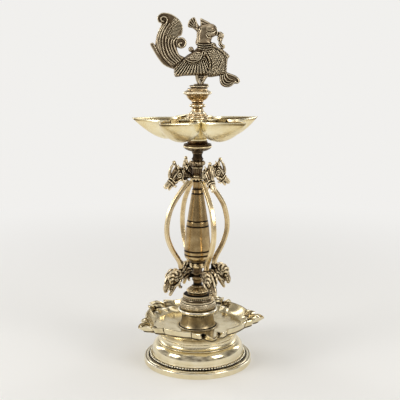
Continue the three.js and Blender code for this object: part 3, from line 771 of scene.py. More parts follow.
def leaf_spouts(floor_z, low, high):
    """Draws the tray's rim out into three-lobed prows, with deep notches between the lobes."""
    def carve(radius, height, angles):
        away = off_spout(angles)
        up = np.clip((height - low) / (high - low), 0, 1)
        wall = np.clip((height - floor_z) / (high - floor_z), 0, 1)
        under = np.clip((height - low + 7) / 6, 0, 1)
        outside = radius > 75 + 9.5 * wall
        share = np.where(outside, under * (KEEL + (1 - KEEL) * up), wall) * (radius > 60)
        notch = np.clip(1 - np.abs(away - NOTCH_PLACE) / (0.5 + NOTCH_HALF * up), 0, 1) ** 0.8
        seam = np.clip(1 - np.abs(away - LEAF_SPREAD) / 0.5, 0, 1) * (up > 0.1) * (radius > 82)
        tip = np.clip(1 - away / 4.5, 0, 1)
        cut_in = (NOTCH_DEPTH * notch * up**0.5 + 0.8 * seam) * (radius > 60)
        return radius + share * drawn_out(away) - cut_in, height - up * (4 * tip + 2.4 * notch)
    return carve


def tray():
    z, boss_z, foot_z = top("foot_collar"), top("tray"), seat("tray")
    rim_z, band = z + RIM_HEIGHT, z + BAND_HEIGHT
    section = Section(
        "tray", (BORE, foot_z), (12, foot_z), (12, z + 8), (53, z + 8), (53, z), (60.6, z), (60.9, z + 0.8),
        (61, z + 8.8, 65, z + 10.4, 8), (70, z + 11.6, 76, z + 14.4, 6), (-3.4, band - 1.2),
        (-2.4, band + 1, 0.7, 6), (-2.5, band + 1.4), (-1.25, z + 26.7, 0, rim_z - 1, 12), (-0.8, rim_z),
        (-2.4, rim_z - 1), (-6.6, rim_z - 12, -14, z + 15, 20), (34, z + 13.4),
        (32, z + 13.4, 31.4, z + 14.6, 5), (30.4, z + 14.4), (29.6, z + 15.6),
        (26.2, z + 20, 25.4, boss_z - 4, 14), (24.4, boss_z - 3, 24, boss_z, 4), (BORE, boss_z),
        extent=(TRAY_RIM, 0, 0))
    joints = rings((30, z + 14.8, 1.3), (24, boss_z, 0.9), heavy=0.3)

    # The tray's darkening: patina at its joints and seams and along the bead under the rim, painted shade in
    # the deep notches, and a painted dark reflection on the boss.
    def dirt(spots):
        away = off_spout(np.arctan2(spots[:, 1], spots[:, 0]))
        out = np.hypot(spots[:, 0], spots[:, 1])
        height = spots[:, 2]
        rim_part = np.clip((height - band - 2) / 4, 0, 1) * (out > 76)
        skirt = (out > TRAY_RIM - 4.5 + 0.5 * drawn_out(away)) * bell(height - band - 0.2, 1.2)
        # Painted dark reflection: the boss under the stem is painted darker, standing in for the dark studio
        # that it reflects.
        boss_dark_reflection = np.clip(31.5 - out, 0, 1) * np.clip((height - z - 16) / 2, 0, 1)
        # The notches between the lobes and the seams beside them are darkened: patina in the seams and
        # notches, plus painted shade for the shadow inside the deep notches.
        notch_patina_and_shade = bell(away - NOTCH_PLACE, 1.1) + 0.6 * bell(away - LEAF_SPREAD, 0.5)
        return joints(spots) + 0.4 * rim_part * notch_patina_and_shade + 0.24 * skirt + 0.1 * boss_dark_reflection
    section.show("spun", POLISHED, 3, dirt, ease=0.35, step=2.2, carve=leaf_spouts(z + 15, band, rim_z),
                 angles=spout_angles())


# Stem

def base_disc():
    section = Section("base_disc", (BORE, 0), (-3.6, 0), (-2.4, -1.6, 2.5, 12), (-3.2, -1.2), (-3.4, TOP),
                      (BORE, TOP))
    section.show("turned", SATIN, 3, section.rings((-3.4, -0.6, 0.9), (-3.4, 0, 1.1), heavy=0.36), sides=120)


def granulated_ring():
    section = Section("granulated_ring", (BORE, 0), (-2.2, 0), (-1.8, 1.2), (-2.4, -3, 1.6, 16), (-3.6, -2.6),
                      (-4.6, -0.4, 1.2, 8), (-5, TOP), (BORE, TOP))

    def vine(radius, height, angles):
        share = section.band(height, 1.6, -3.4, 1.2)
        phase = (height - section.seat) / (section.top - section.seat)
        leaf = np.sin(17 * angles + 3.2 * np.sin(phase * TAU)) * np.cos(phase * 15 + 2 * np.sin(9 * angles))
        grain = np.sin(53 * angles + 9 * phase) * np.cos(phase * 30 - 31 * angles)
        return radius + share * (radius > 20) * (0.42 * leaf + 0.3 * grain - 0.35), height
    petals = [ball(1.3, (1.9 * math.cos(angle), 1.9 * math.sin(angle), 0), (1, 1, 0.6))
              for angle in even_turn(6)]
    points, faces = joined(ball(1.4), *petals)
    radius, height = section.at(-0.6, 4)
    bloom = swung(moved((points[:, [2, 0, 1]], faces), (radius, 0, height)), math.radians(-93))
    dirt = summed(section.rings((-3.6, -2.8, 1), heavy=0.25), inner(0, 2 * section.reach, -0.09))
    section.show("cast", ANTIQUE, 6, dirt, [section.pearls(64, 0.9, -3.1, -1.4), bloom],
                 sides=420, step=0.6, carve=vine)


def stepped_ring():
    section = Section("stepped_ring", (BORE, 0), (-2.2, 0), (-2.2, 1), (-1.4, 3, 1.2, 8), (-1.8, 3.4),
                      (-1.9, -3), (-2.8, -0.6, 1.4, 8), (-4, TOP), (BORE, TOP))
    dirt = section.rings((-1.6, 3.3, 0.9), (-4, TOP, 1.6), heavy=0.14)
    section.show("cast", DARKENED, 6, summed(dirt, inner(0, 2 * section.reach, 0.05)),
                 [section.pearls(44, 1.15, -1.8, 4.9)])


def lotus_bell():
    flare = reach("lotus_bell") + 3.4
    section = Section(
        "lotus_bell", (BORE, 0), (-2.2, 0), (-2.2, 2, 0.9, 6), (-2.6, 2.4), (flare, 5, -2.4, 8.8, 12),
        (-6, 11.4, 9.2, 11.6, 6), (8.6, 13.8, 1.1, 8), (7.6, 14.4), (6.6, 18, 7.6, 22, 6),
        (8.4, 24.4, 0.9, 6), (9.2, -2), (9.2, TOP), (BORE, TOP))
    petals = section.lobes((12, 0.9, 2.4, 11.4, 1.4, 0.6), (24, 0.3, 5, 10.4, 2, 0.8))
    dirt = section.rings((-2.4, 2.2, 0.8), (8.6, 12, 1.8), (7.6, 17, 3), (7.6, 24, 2), heavy=0.16)
    section.show("cast", BURNISHED, 6, dirt, sides=288, step=0.6, carve=petals)


def mask_collar():
    section = Section("mask_collar", (BORE, 0), (-0.4, 0), (0, 0.8), (0, 2), (-2, 4, 0, 6, 8), (0, 7.4),
                      (-0.8, 8.2), (-2.2, 9), (-3.2, 12, -2, TOP, 8), (BORE, TOP))
    section.show("turned", SOOTED, sides=96, step=0.8)


RIVET_SPREAD = 20
RIVET_HEIGHT = 7


def arm_block():
    section = Section("arm_block", (BORE, 0), (-3.4, 0), (-0.2, 0.6, 0, 4, 8), (0, -3.4), (-0.7, -2.9),
                      (0, -2.4), (-0.2, TOP), (BORE, TOP))
    radius, height = section.at(-0.6, RIVET_HEIGHT)
    rivet = ball(1.5, (radius, 0, height), (0.5, 1, 1), 12, 8)
    between = bearing("arm_1") + TAU / 8
    rivets = [swung(rivet, between + quarter + side * math.radians(RIVET_SPREAD))
              for quarter in even_turn(4) for side in (-1, 1)]
    seams = section.rings((0, -2.9, 0.9), (-1.4, 0, 1.4), (0, TOP, 1))

    def dirt(spots):
        around = np.degrees(np.arctan2(spots[:, 1], spots[:, 0]) - between) % 90
        near = np.minimum(np.abs(around - RIVET_SPREAD), np.abs(around - 90 + RIVET_SPREAD))
        edge = np.hypot(near * math.radians(section.reach), spots[:, 2] - height) - 1.5
        outside = np.hypot(spots[:, 0], spots[:, 1]) > section.reach - 1
        return seams(spots) + 0.45 * bell(edge, 0.7) * outside
    section.show("turned", HONEYED, 3, dirt, rivets, sides=96, step=0.8)


def column():
    section = Section(
        "column", (BORE, 0), (14.6, 0), (17.4, 0.4, 18.2, 2.4, 4), (21.4, 4, 21.4, 8, 8),
        *groove(21.5, 10, 21.6), (22, 13, 21.8, 15.6, 4), *groove(21.8, 16.8, 21.7),
        (20.4, 34, 18.4, 55.6, 14), *groove(18.3, 57, 18.1), (17.1, 64), *groove(16.9, 65.4, 16.5),
        (14.2, 82, 11.5, 98, 12), (10.6, 104, 10, 108, 4), *groove(10, 109.4, 9.6),
        (9, 113, 8.6, 115.4, 4), *groove(8.5, 117, 8), (7.7, 120), (8, -1), (8, TOP), (BORE, TOP))
    cuts = ((21.2, 10), (21.2, 16.8), (17.6, 57), (16.2, 65.4), (9.4, 109.4), (8, 117))
    grooves = [(radius, height, 0.95) for radius, height in cuts]
    dirt = section.rings(*grooves, (17.4, 0, 1.4), (8, TOP, 2), heavy=0.4)
    section.show("turned", BURNISHED, 2, dirt, sides=144, ease=0.2)


def clasp_collar():
    section = Section("clasp_collar", (BORE, 0), (-2, 0), (-0.6, 0.4), (0, 2, -0.4, 4.4, 6), (-1.2, 5),
                      (-1.2, -0.4, 1.1, 8), (-2, TOP), (BORE, TOP))

    def scallops(radius, height, angles):
        low = 1 - soft_step(height, section.level(0.4), section.level(4))
        gap = low * (1 - np.abs(np.sin(6 * angles))) * (radius > 7)
        return radius - 0.6 * gap, height + 1.6 * gap
    section.show("cast", HONEYED, 6, section.rings((-1.2, 5, 1.1), (-2, TOP, 1.2)),
                 sides=144, step=0.7, carve=scallops)


def head_collar():
    section = Section("head_collar", (BORE, 0), (-0.8, 0), (-1, 2, 0.8, 6), (-1.6, 2.4),
                      (-2.2, 6.5, -1.4, -2.6, 8), (-0.6, -0.4, 0.7, 6), (-1, TOP), (BORE, TOP))
    section.show("cast", SOOTED, sides=168, step=0.7, carve=section.lobes((14, 1.1, 2.2, -2.4, 0.8, 0.6)))


def lobed_knob():
    section = Section(
        "lobed_knob", (BORE, 0), (-4.6, 0), (-4.4, 1), (-4.6, 9.4, 4.4, 14), (-5, 10.2), (8.4, 10.8),
        (8.6, 13, 0.9, 6), (6.4, 17, 7.8, 20.6, 8), (8.4, 22.4, 0.7, 6), (9, 23), (9.4, TOP), (BORE, TOP))
    gadroons = section.lobes((8, 2.6, 0.8, 9.8, 1, 0.55), turn=math.radians(11))
    dirt = section.rings((-2, 5, 6), heavy=0.02)
    section.show("cast", DARKENED, 6, dirt, sides=240, step=0.6, carve=gadroons)


def drip_pan():
    section = Section(
        "drip_pan", (BORE, 0), (9, 0), (-9, 0.2, -5, 2.6, 8), (-2, 4, -1, 5.6, 5), (-1.4, 6),
        (-1.3, 9, 1.1, 8), (-1.8, 9.4), (-2, 11.6, 0.9, 6), (-3.4, 11.4), (-7, 11.6, -7.6, -1.2, 8),
        (-8, TOP), (BORE, TOP))
    section.show("cast", SOOTED, sides=252, step=0.7, carve=section.lobes((18, 1.5, 0.2, 5.6, 1.2, 0.6)))


# Arms, with the heads above and the masks below

def arm_shape():
    """A bar bent in the XZ plane, with two flat faces that meet in a ridge outside."""
    low, high = seat("arm_1"), top("arm_1")
    bend = [(29.5, -0.01), (30.2, 0.04), (34, 0.1), (44.6, 0.22), (52, 0.35), (53.8, 0.45), (52.6, 0.55),
            (46.8, 0.69), (36.4, 0.81), (24, 0.92), (17.6, 0.965), (12.9, 0.995)]
    line = smooth_line([(r, 0, low + share * (high - low)) for r, share in bend], 8)
    _, side, out = frames(line)
    half, ridge, back, ease = 4.5, 4.1, 3.9, 0.55
    corners = [(0, ridge), (half, -0.4), (half * 0.72, -back), (-half * 0.72, -back), (-half, -0.4)]
    section = []
    for before, here, after in zip(corners[-1:] + corners, corners, corners[1:] + corners[:1]):
        into, away = np.array(before) - here, np.array(after) - here
        into, away = into / np.hypot(*into), away / np.hypot(*away)
        section += [here + into * ease * 2.2, here + into * ease, here + (into + away) * ease * 0.3,
                    here + away * ease, here + away * ease * 2.2]
    across = np.array(section)
    belts = line[:, None] + side[:, None] * across[:, :1] - out[:, None] * across[:, 1:]
    belts[:, :, 2] = np.clip(belts[:, :, 2], low, high)
    count = len(section)
    last = (len(line) - 1) * count
    faces = grid_faces(len(line), count, wrap_columns=True)
    faces += [list(range(count))[::-1], [last + k for k in range(count)]]
    return belts.reshape(-1, 3), flipped(faces)


def horse_shape():
    """A bridled horse's head on an arched neck, drawn outwards along +X from its collar's seat."""
    middle = [
        spine([(10.8, 5.8, 3.2), (15, 7.4, 4.4), (20, 8.6, 6.4), (26, 9.8, 8.6), (32, 10.8, 9.2)], 0.54),
        ball(1, (35.4, 0, 10.4), (9.2, 5.9, 9.6), 24, 16),
        spine([(37, 15, 7.2), (41, 9.6, 6.4), (45, 4.4, 5.6)], 0.84),
        spine([(45, 3.4, 5), (49, -0.8, 4.4), (52.4, -4, 4.3), (55.4, -6.8, 4.1)], 0.92),
        spine([(39, 0, 4.4), (43.4, -3.8, 3), (47.2, -8, 2.3), (50, -11.4, 2.1)], 0.9),
        spine([(10.8, 9.4, 1.2), (17, 13.6, 1.7), (24, 17.6, 2), (31, 20.6, 2.2), (37, 22.2, 2.4)], 0.9),
        spine([(34.8, 19.4, 3.2), (37.6, 25, 2), (40.4, 29.2, 2.2)], 0.9),
        ball(3.1, (41.2, 0, 30.2)),
        spine([(42.4, 28, 1.3), (46.6, 21.8, 2.2), (49, 14.6, 2.4), (49.4, 8, 2.2), (47.4, 4, 1.5)], 1.08),
        strap((44, 0, 1.6), (0.72, 0, -0.69), 7, 1.05, 0.86),
        strap((47, 0, -1.6), (0.72, 0, -0.69), 6.4, 1.05, 0.86),
        strap((27, 0, 10.4), (0.95, 0, 0.12), 9.6, 1.1, 0.56),
    ]
    side = []
    for k in range(5):
        r, h, y = 13.6 + 3.1 * k, 11 + 1.7 * k, 2.6 + 0.5 * k
        side.append(bar([(r, 1 + 0.3 * k, h, 1.1), (r + 0.2, y, h - 3.4 - 0.5 * k, 1.3),
                         (r - 1.4, y, h - 6.4 - 0.8 * k, 0.7)], 0.8, 10))
    side += eye(34.4, 6, 10.2, 1.6, 3.3, 0.85, 0.1)
    side += [
        bar([(35.4, 5.2, 18, 1.1), (40.4, 5.2, 12.4, 1.3), (44.4, 4.6, 6.4, 1.1)], 0.9, 10),
        bar([(31, 5, 3, 1.1), (36, 5.2, 1.4, 1.2), (41, 4.8, -0.6, 1)], 0.9, 10),
        bar([(29, 4.6, 17, 1), (27.6, 5.4, 11, 1.2), (29.4, 5.2, 5, 1)], 0.9, 10),
        bar([(35.6, 3, 19, 2), (36.8, 5, 22.6, 1.8), (36.4, 6.2, 26.4, 0.9)], 0.8, 10),
        ball(1.2, (53.4, 3.4, -4.4)),
        bar([(43.4, 2.8, -5.6, 1.1), (41, 3, -8, 1.3), (38.6, 2.6, -6.6, 1)], 1, 8),
    ]
    return joined(*middle, *(mirrored(shape) for shape in side))


def mask_shape(rise):
    """A leafy-maned lion's mask, drawn outwards along +X from its collar's seat and open-mouthed. The arm
    stands on it at a height of rise."""
    middle = [
        spine([(9.6, 4, 3.4), (17, 4.6, 4), (25, 6.2, 5), (32, 6.4, 6.4)], 0.8),
        ball(1, (41, 0, 4), (11.6, 6.4, 10.4), 24, 16),
        spine([(44, 4, 7.8), (50.4, -0.4, 6.4), (55.4, -6, 4.8), (57.6, -11, 4.4), (57.4, -15.4, 3.6)], 0.86),
        spine([(38.4, -4, 4.4), (42.4, -11, 3.6), (46, -17, 3.1), (49.4, -22.4, 2.7)], 0.86),
        spine([(41, -2, 6), (46, -8, 4.6), (50.4, -13, 2.4)], 0.42),
        spine([(29.5, 8, 4.6), (29.5, rise - 2.2, 4.2)]),
        spine([(33.4, -3, 2.8), (33.2, -9, 2.3), (31.6, -12.6, 2.4), (29.4, -13, 1.8)], 0.9),
        spine([(33, 13.4, 2.8), (40, 15, 2.8), (47.4, 12.4, 2.6), (53.4, 6.4, 2.4), (58, -1, 1.9)], 0.9),
    ]
    side = []
    leaf = ((5, 0, 6.4, 1.6), (10, 0.1, 7.2, 2.3), (13.6, 0.34, 6.4, 2.3), (14.4, 0.66, 5.2, 1.9),
            (12.2, 0.88, 5.8, 1.5), (10.4, 0.72, 6.8, 1.1))
    for first, size in ((132, 1.0), (92, 1.06), (52, 1.0), (12, 0.86), (166, 0.86)):
        places = []
        for out, bend, y, radius in leaf:
            turn = math.radians(first) - bend
            places.append((40.4 + out * size * math.cos(turn), y,
                           3.4 + 0.9 * out * size * math.sin(turn), radius))
        side.append(bar(places, 0.8, 10))
    side += [ball(2 - 0.15 * k, (51.8 + 1.2 * k, 3.3 - 0.25 * k, -4 - 3.4 * k)) for k in range(4)]
    side += [bar([(45.4 + 1.4 * k, 2, -9.4 - 3 * k, 1), (47.8 + 1.4 * k, 2, -10 - 3 * k, 0.6)], 1, 8)
             for k in range(3)]
    side += eye(40.6, 6.4, 2.8, 1.5, 2.7, 0.8)
    side += [
        bar([(36.6, 6, 8.4, 1.2), (41.4, 7, 8.2, 1.7), (47, 5.8, 4.4, 1.5), (50, 5, 0, 1)], 1, 8),
        bar([(34, 5.4, 0, 1.7), (37.4, 6.4, -5, 2.2), (42.4, 5, -9, 1.4)], 0.8, 10),
        bar([(27.6, 4, 17, 1.5), (31.4, 5.4, 11.4, 1.7), (34.4, 6.2, 5.6, 1.2)], 0.8, 10),
        bar([(22, 2.6, 9, 1.2), (26, 4.6, 8, 1.7), (30.6, 5.4, 3, 1.6), (32, 5.2, -2, 1)], 0.8, 10),
        bar([(16, 2.2, 7, 1.1), (21, 4, 5.2, 1.5), (26, 5, 1, 1.5), (28.6, 4.4, -4, 1)], 0.8, 10),
    ]
    return joined(*middle, *(mirrored(shape) for shape in side))


def quarters():
    """The four arms, each with its horse's head and its lion's mask."""
    head_z, mask_z = seat("clasp_collar"), seat("mask_collar")
    horse = moved(horse_shape(), (0, 0, head_z))
    mask = moved(mask_shape(seat("arm_1") - mask_z), (0, 0, mask_z))
    # The heads and masks grow darker towards the stem, and their cheeks and muzzles are rubbed lighter.
    rubbed_head = rings((54, head_z - 5, 7), (36, head_z + 9, 7), heavy=-0.045)
    rubbed_mask = rings((53, mask_z - 8, 9), heavy=-0.02)
    kinds = (
        ("arm", "bent", mesh_of("arm_bent", arm_shape()), HONEYED, 3, None),
        ("horse_head", "cast", cast("horse_head_cast", horse, HEAD_VOXEL), DARKENED, 10,
         summed(inner(14, 34, 0.14), rubbed_head)),
        ("lion_mask", "cast", cast("lion_mask_cast", mask, MASK_VOXEL), DARKENED, 10,
         summed(inner(16, 44, 0.12), rubbed_mask)),
    )
    for k in range(1, 5):
        turn = Matrix.Rotation(bearing(f"arm_{k}"), 4, "Z")
        for kind, way, mesh, finish, passes, dirt in kinds:
            own = mesh.copy()
            own.transform(turn)
            show(f"{kind}_{way}_{k}", own, finish, f"{kind}_{k}", passes, dirt)


# Cups

def cup_hub():
    section = Section("cup_hub", (BORE, 0), (-0.6, 0), (-0.6, 3.4, 0.6, 6), (-1.4, 4),
                      (-2.6, 14, -1.4, 24, 12), (0, -3), (0, TOP), (3.3, TOP), (3.3, 16), (BORE, 15))
    section.show("turned", PALE, 3, sides=112)


# The cups: WIDEST is the distance from the axis where they are broadest
CUPS = 5
CUP_WALL = 1.4
CUP_STATIONS = 72
CUP_RIBS = 44
WIDEST = 52


def boat(near, far, half, depth):
    """A boat-shaped skin between two radii, its rim at height 0."""
    t = np.linspace(0, 1, CUP_STATIONS + 1)
    r = near + (far - near) * (0.5 - 0.5 * np.cos(math.pi * t))
    back = np.clip((WIDEST - r) / (WIDEST - near), 0, 1)
    front = np.clip((r - WIDEST) / (far - WIDEST), 0, 1)
    beam = np.where(r < WIDEST, np.sqrt(1 - back**2), 1 - front**1.6)
    keel = np.where(r < WIDEST, np.sqrt(1 - back**2.4), 1 - front**1.5)
    wide = np.maximum(0.35, np.minimum(half * beam, r * math.tan(math.pi / CUPS) - 0.3))
    deep = np.maximum(0.5, depth * keel)
    s = np.linspace(0, math.pi, CUP_RIBS + 1)
    side = np.sin(s).clip(0) ** 0.8
    across = np.repeat(r[:, None], CUP_RIBS + 1, 1)
    return np.stack([across, -wide[:, None] * np.cos(s), -deep[:, None] * side], -1)


def cup_shape():
    near, far, half, depth = 14.9, 106.7, 31, 32
    outside = boat(near, far, half, depth)
    inside = boat(near + 2.4 * CUP_WALL, far - 2.4 * CUP_WALL, half - CUP_WALL, depth - 1.8)
    inside[:, :, 2] -= 0.35 * (1 - np.sin(np.linspace(0, math.pi, CUP_RIBS + 1)))
    brim = 3
    rows = CUP_RIBS + 1
    across = []
    for k in range(1, brim + 1):
        t = k / (brim + 1)
        lift = np.array([0, 0, 0.5 * math.sin(math.pi * t)])
        across.append((outside * (1 - t) + inside * t)[:, [0, -1]] + lift)
    ring = np.concatenate([outside, *(step[:, 1:] for step in across), inside[:, ::-1],
                           *(step[:, :1] for step in across[::-1])], 1)
    count = ring.shape[1]
    faces = grid_faces(CUP_STATIONS + 1, count, wrap_columns=True)
    ends = []
    for j in range(rows - 1):
        facing = 2 * rows + brim - 1 - j
        ends.append([j, j + 1, facing - 1, facing])
    ends.append([rows - 1, *(rows + k for k in range(brim)), rows + brim])
    ends.append([2 * rows + brim - 1, *(count - brim + k for k in range(brim)), 0])
    last = CUP_STATIONS * count
    faces += ends + flipped([[last + k for k in face] for face in ends])
    return ring.reshape(-1, 3), faces


def oil_cups():
    rim_z = top("oil_cup_1") - 0.5
    plain = mesh_of("oil_cup", moved(cup_shape(), (0, 0, rim_z)))

    # Painted shade: a darker band just under each cup's rim, where the lip shades the wall.
    def shade_under_lip(spots):
        return 0.14 * bell(spots[:, 2] - rim_z + 2.4, 1.3)
    for k in range(1, CUPS + 1):
        own = plain.copy()
        own.transform(Matrix.Rotation(bearing(f"oil_cup_{k}"), 4, "Z"))
        show(f"oil_cup_hammered_{k}", own, PALE, f"oil_cup_{k}", 3, shade_under_lip)


# Finial

def finial_pedestal():
    section = Section(
        "finial_pedestal", (3.3, 0), (14.4, 0), (14.4, 2.3), (16.8, 2.3), (16.6, 4.4, 0.6, 5), (15.4, 4.8),
        (15, 7, 14.4, 8, 4), (13.4, 8.4), (12.4, 12, 9.4, 14.6, 6), (9.2, 15.2), (8.8, 17.2, 0.7, 6),
        (8.4, 18), (8.4, 19.6), (8.4, 25.2, 4.7, 14), (8.4, 26.4), (8.7, 28), (9.2, 29.8, 0.8, 5),
        (15, 31, 17.4, 37.6, 10), (17.2, 38.4), (20.6, 39, 21.2, 40.6, 5), (20.6, 44, 1.1, 8),
        (18, 46.4, 15.4, 46.8, 5), (15.4, TOP), (3.3, TOP))

    def ticks(radius, height, angles):
        share = section.band(height, 40, 45, 1) * (radius > 19)
        return radius + 0.22 * share * np.cos(60 * angles), height
    beads = [section.pearls(44, 1.15, 16.2, 6.4), section.pearls(36, 0.95, 13.4, 9.8)]
    joints = ((8.4, 18.8, 0.8), (8.4, 27, 1.2), (16.6, 38.6, 1.1), (15.4, 8.4, 1.2), (15.4, TOP, 0.8))
    dirt = summed(section.rings(*joints, heavy=0.2), section.rings((13, 34, 6), heavy=0.06))
    section.show("turned", GOLDEN, 5, dirt, beads, sides=240, step=0.7, carve=ticks)


# The bird's outlines and lines, measured from the top of its plate

TAIL = [(-27, 31), (-20, 37), (-19, 42), (-27.5, 46.5), (-30.5, 52.5), (-32, 58.5), (-34, 66), (-30, 73),
        (-24.5, 76), (-22.5, 83.5), (-23, 90.5), (-26.5, 97.5), (-32, 103), (-38.5, 107), (-46, 109.5),
        (-54.5, 109.5), (-60.5, 105), (-61.5, 100), (-59.5, 95), (-55.5, 93), (-59.5, 84), (-62.5, 76.5),
        (-64, 69.5), (-65, 62), (-61, 52), (-55, 42), (-47, 33), (-36, 24)]
OUTER_FEATHER = [(-36, 25), (-43.5, 26.5), (-53, 31.5), (-61, 41), (-68, 52.5), (-73, 62), (-70.5, 64.5),
                 (-68, 64.5), (-64, 58.5), (-58, 48), (-50, 38), (-40, 31), (-33, 28)]
TAIL_RIBS = [
    [(-40.5, 31), (-49, 39), (-55.5, 48), (-60, 57.5), (-61, 66.5), (-59.5, 75.5), (-55.5, 85), (-50.5, 92)],
    [(-38, 31), (-47, 38.6), (-54, 48), (-57.2, 57.5), (-57.8, 66.5), (-56, 76), (-52, 85.5), (-47.5, 93),
     (-46, 98.5), (-48, 102.5), (-52.5, 103.5), (-55.5, 101), (-54.5, 97.5), (-51.5, 96.5)],
    [(-35.5, 32.5), (-44.5, 39.6), (-50.5, 48), (-53, 57.5), (-53.5, 66.5), (-52, 75.5), (-48, 85),
     (-43, 92.5)],
    [(-32, 34.5), (-40.6, 42), (-46, 51), (-48.8, 61), (-48.5, 69.5), (-46, 77.5), (-41.5, 86), (-37, 92.5)],
    [(-29.5, 36), (-37, 44), (-42, 52.5), (-44.5, 61), (-44, 68.5), (-41.5, 75.5)],
    [(-26.5, 38), (-33.6, 45.5), (-38.4, 53), (-40.4, 61), (-39.5, 67.5), (-36.5, 73)],
]
SCROLL_RIB = [(-24, 41), (-30, 46.8), (-33.6, 53.5), (-36, 60), (-36.4, 65.5), (-33, 70.6), (-26, 72.4),
              (-19.8, 69.8), (-17.6, 64.5), (-19.8, 59), (-24.4, 57.4), (-28, 60), (-27.4, 63.6), (-24.6, 64)]
BIRD_BODY = [(-21, 42), (-13.5, 47.6), (-3, 52.5), (-0.5, 58), (0, 64), (25, 65), (30.5, 58.5), (39, 54.5),
             (49.5, 45), (47, 40), (46, 32.5), (45.5, 24.5), (45, 18), (37, 15), (27.5, 13), (18.5, 12),
             (11, 14.5), (-8, 14.5), (-22, 14), (-35, 13), (-36, 26.5), (-29.5, 34)]
WING = [(-22.5, 38.5), (-28.5, 32.5), (-36.5, 27), (-35.5, 19.5), (-35.5, 12.8), (-28.5, 13.7), (-21, 15),
        (-8, 15.5), (3.5, 15.5), (11, 16), (16, 19.5), (19.2, 27), (19, 35.5), (16, 42.5), (9.5, 51.5),
        (-2, 53), (-13, 47.5)]
CRESCENT_IN = [(-18.4, 41), (-13.5, 37), (-6, 35.5), (1.5, 38), (6, 43), (8, 51.5)]
CRESCENT_OUT = [(-22, 39.4), (-16.5, 34.5), (-8, 32.5), (1.5, 34.5), (8.5, 39.5), (11.8, 49)]
WING_FOOT = [(-34.5, 24), (-34, 14.6), (-20, 16.4), (-4, 17), (8, 17), (16, 22), (17.6, 31), (16.4, 38)]
HEAD = [(-1.4, 61), (-1.4, 73), (-1, 80.5), (0.6, 87), (6, 91.5), (13, 93.6), (21, 93.5), (27, 91), (30, 86),
        (29.8, 79.5), (27.6, 75), (23.5, 72.6), (21.6, 69), (22, 64), (25.5, 61)]
BACK_CREST = [(4.5, 87), (0.5, 93), (-1.5, 97.5), (-4.5, 103), (-9, 101.5), (-12.5, 98.5), (-14.5, 94),
              (-15, 89.5), (-13, 87.5), (-8, 86.5), (-3.5, 83.5), (1, 79)]
FRONT_CREST = [(4.5, 101.5), (11, 99), (20, 94), (22, 90), (12, 87), (5, 90), (4.5, 95)]
BEAK = [(28.5, 85.5), (31.5, 81.5), (36, 81.4), (39.5, 78.4), (41, 74.5), (39, 70.6), (34.5, 71.6),
        (30.5, 74.5), (27.5, 76)]
PENDANT = [(31, 73.4), (30.4, 69.6), (32.4, 66), (32, 62.4), (34.4, 58.4), (39, 55), (42.4, 57.2), (42, 61),
           (38.6, 62.6), (37.4, 66), (39, 69.4), (36.4, 72.8)]
LEG_PANEL = [(-0.5, 15), (13.5, 15), (11, 9), (7.6, 2), (5.4, 2), (2, 9)]
BREAST_EDGE = [(31, 59.5), (39, 53.5), (48.4, 44.6), (45, 40), (44.4, 32), (43.4, 24), (43, 18)]
SHELL = [(34.5, 17), (34, 9.5), (35.5, 2), (40.5, -2.5), (47.5, -3.5), (53, -1.5), (57.5, 2), (62.5, 2),
         (66, 5.5), (64.5, 10), (59.5, 14.5), (52, 17.5), (45, 20), (38, 20)]
SHELL_RIBS = [
    [(35.6, 15), (36, 6.6), (40, 0.8), (47.5, -1.4), (53.4, 0.8), (57.4, 4.6)],
    [(38.4, 15), (39.2, 8), (42.4, 3.2), (48.5, 1.6), (53.4, 4)],
    [(41.2, 16), (42.2, 10.4), (45.2, 6.4), (49.6, 5.2)],
    [(44, 16.6), (46, 12.8), (49.4, 9.6), (53.4, 8.6)],
    [(44, 18.6), (52, 15.8), (59.5, 12.4), (63.4, 8), (63.8, 5), (60.6, 4), (58.6, 6)],
]
SCROLL_CENTRE = (-25.4, 64.4)
FAN_FOOT = (0.5, 83.5)
BREAST_EYE = np.array([30.0, 27.0])


def carve_tail(bird):
    """The tail with its ribs and its curled scroll, and the two crests."""
    bird.pad(OUTER_FEATHER, 2.6, 2.2)
    bird.pad(TAIL, 3.1, 2.2)
    turns = even_turn(32)[:, None]
    bird.pad(SCROLL_CENTRE + 8.8 * np.hstack([np.cos(turns), np.sin(turns)]), 3.4, 2.4, smooth=False)
    bird.ribs(*((rib, 1.35, 1.25) for rib in TAIL_RIBS), (SCROLL_RIB, 1.7, 1.6), (TAIL[7:13], 1.6, 1.0),
              (TAIL[12:22], 1.7, 1.2), (TAIL_RIBS[1][7:], 2.0, 1.4), (OUTER_FEATHER[1:7], 1.2, 0.8))
    carve_barbs(bird)
    bird.pad(BACK_CREST, 2.2, 1.4)
    for tip in ((-4, 101.6), (-7.4, 100.4), (-10.6, 98), (-12.8, 94.4), (-13.4, 90.4)):
        bird.rib([FAN_FOOT, tip], 0.9, 0.9, smooth=False)
    bird.pad(FRONT_CREST, 2.0, 1.2)
    bird.ribs(([(6, 99.6), (12, 96.6), (20, 92)], 1, 0.8), ([(7, 95), (12, 93.4), (17, 91)], 1, 0.8))


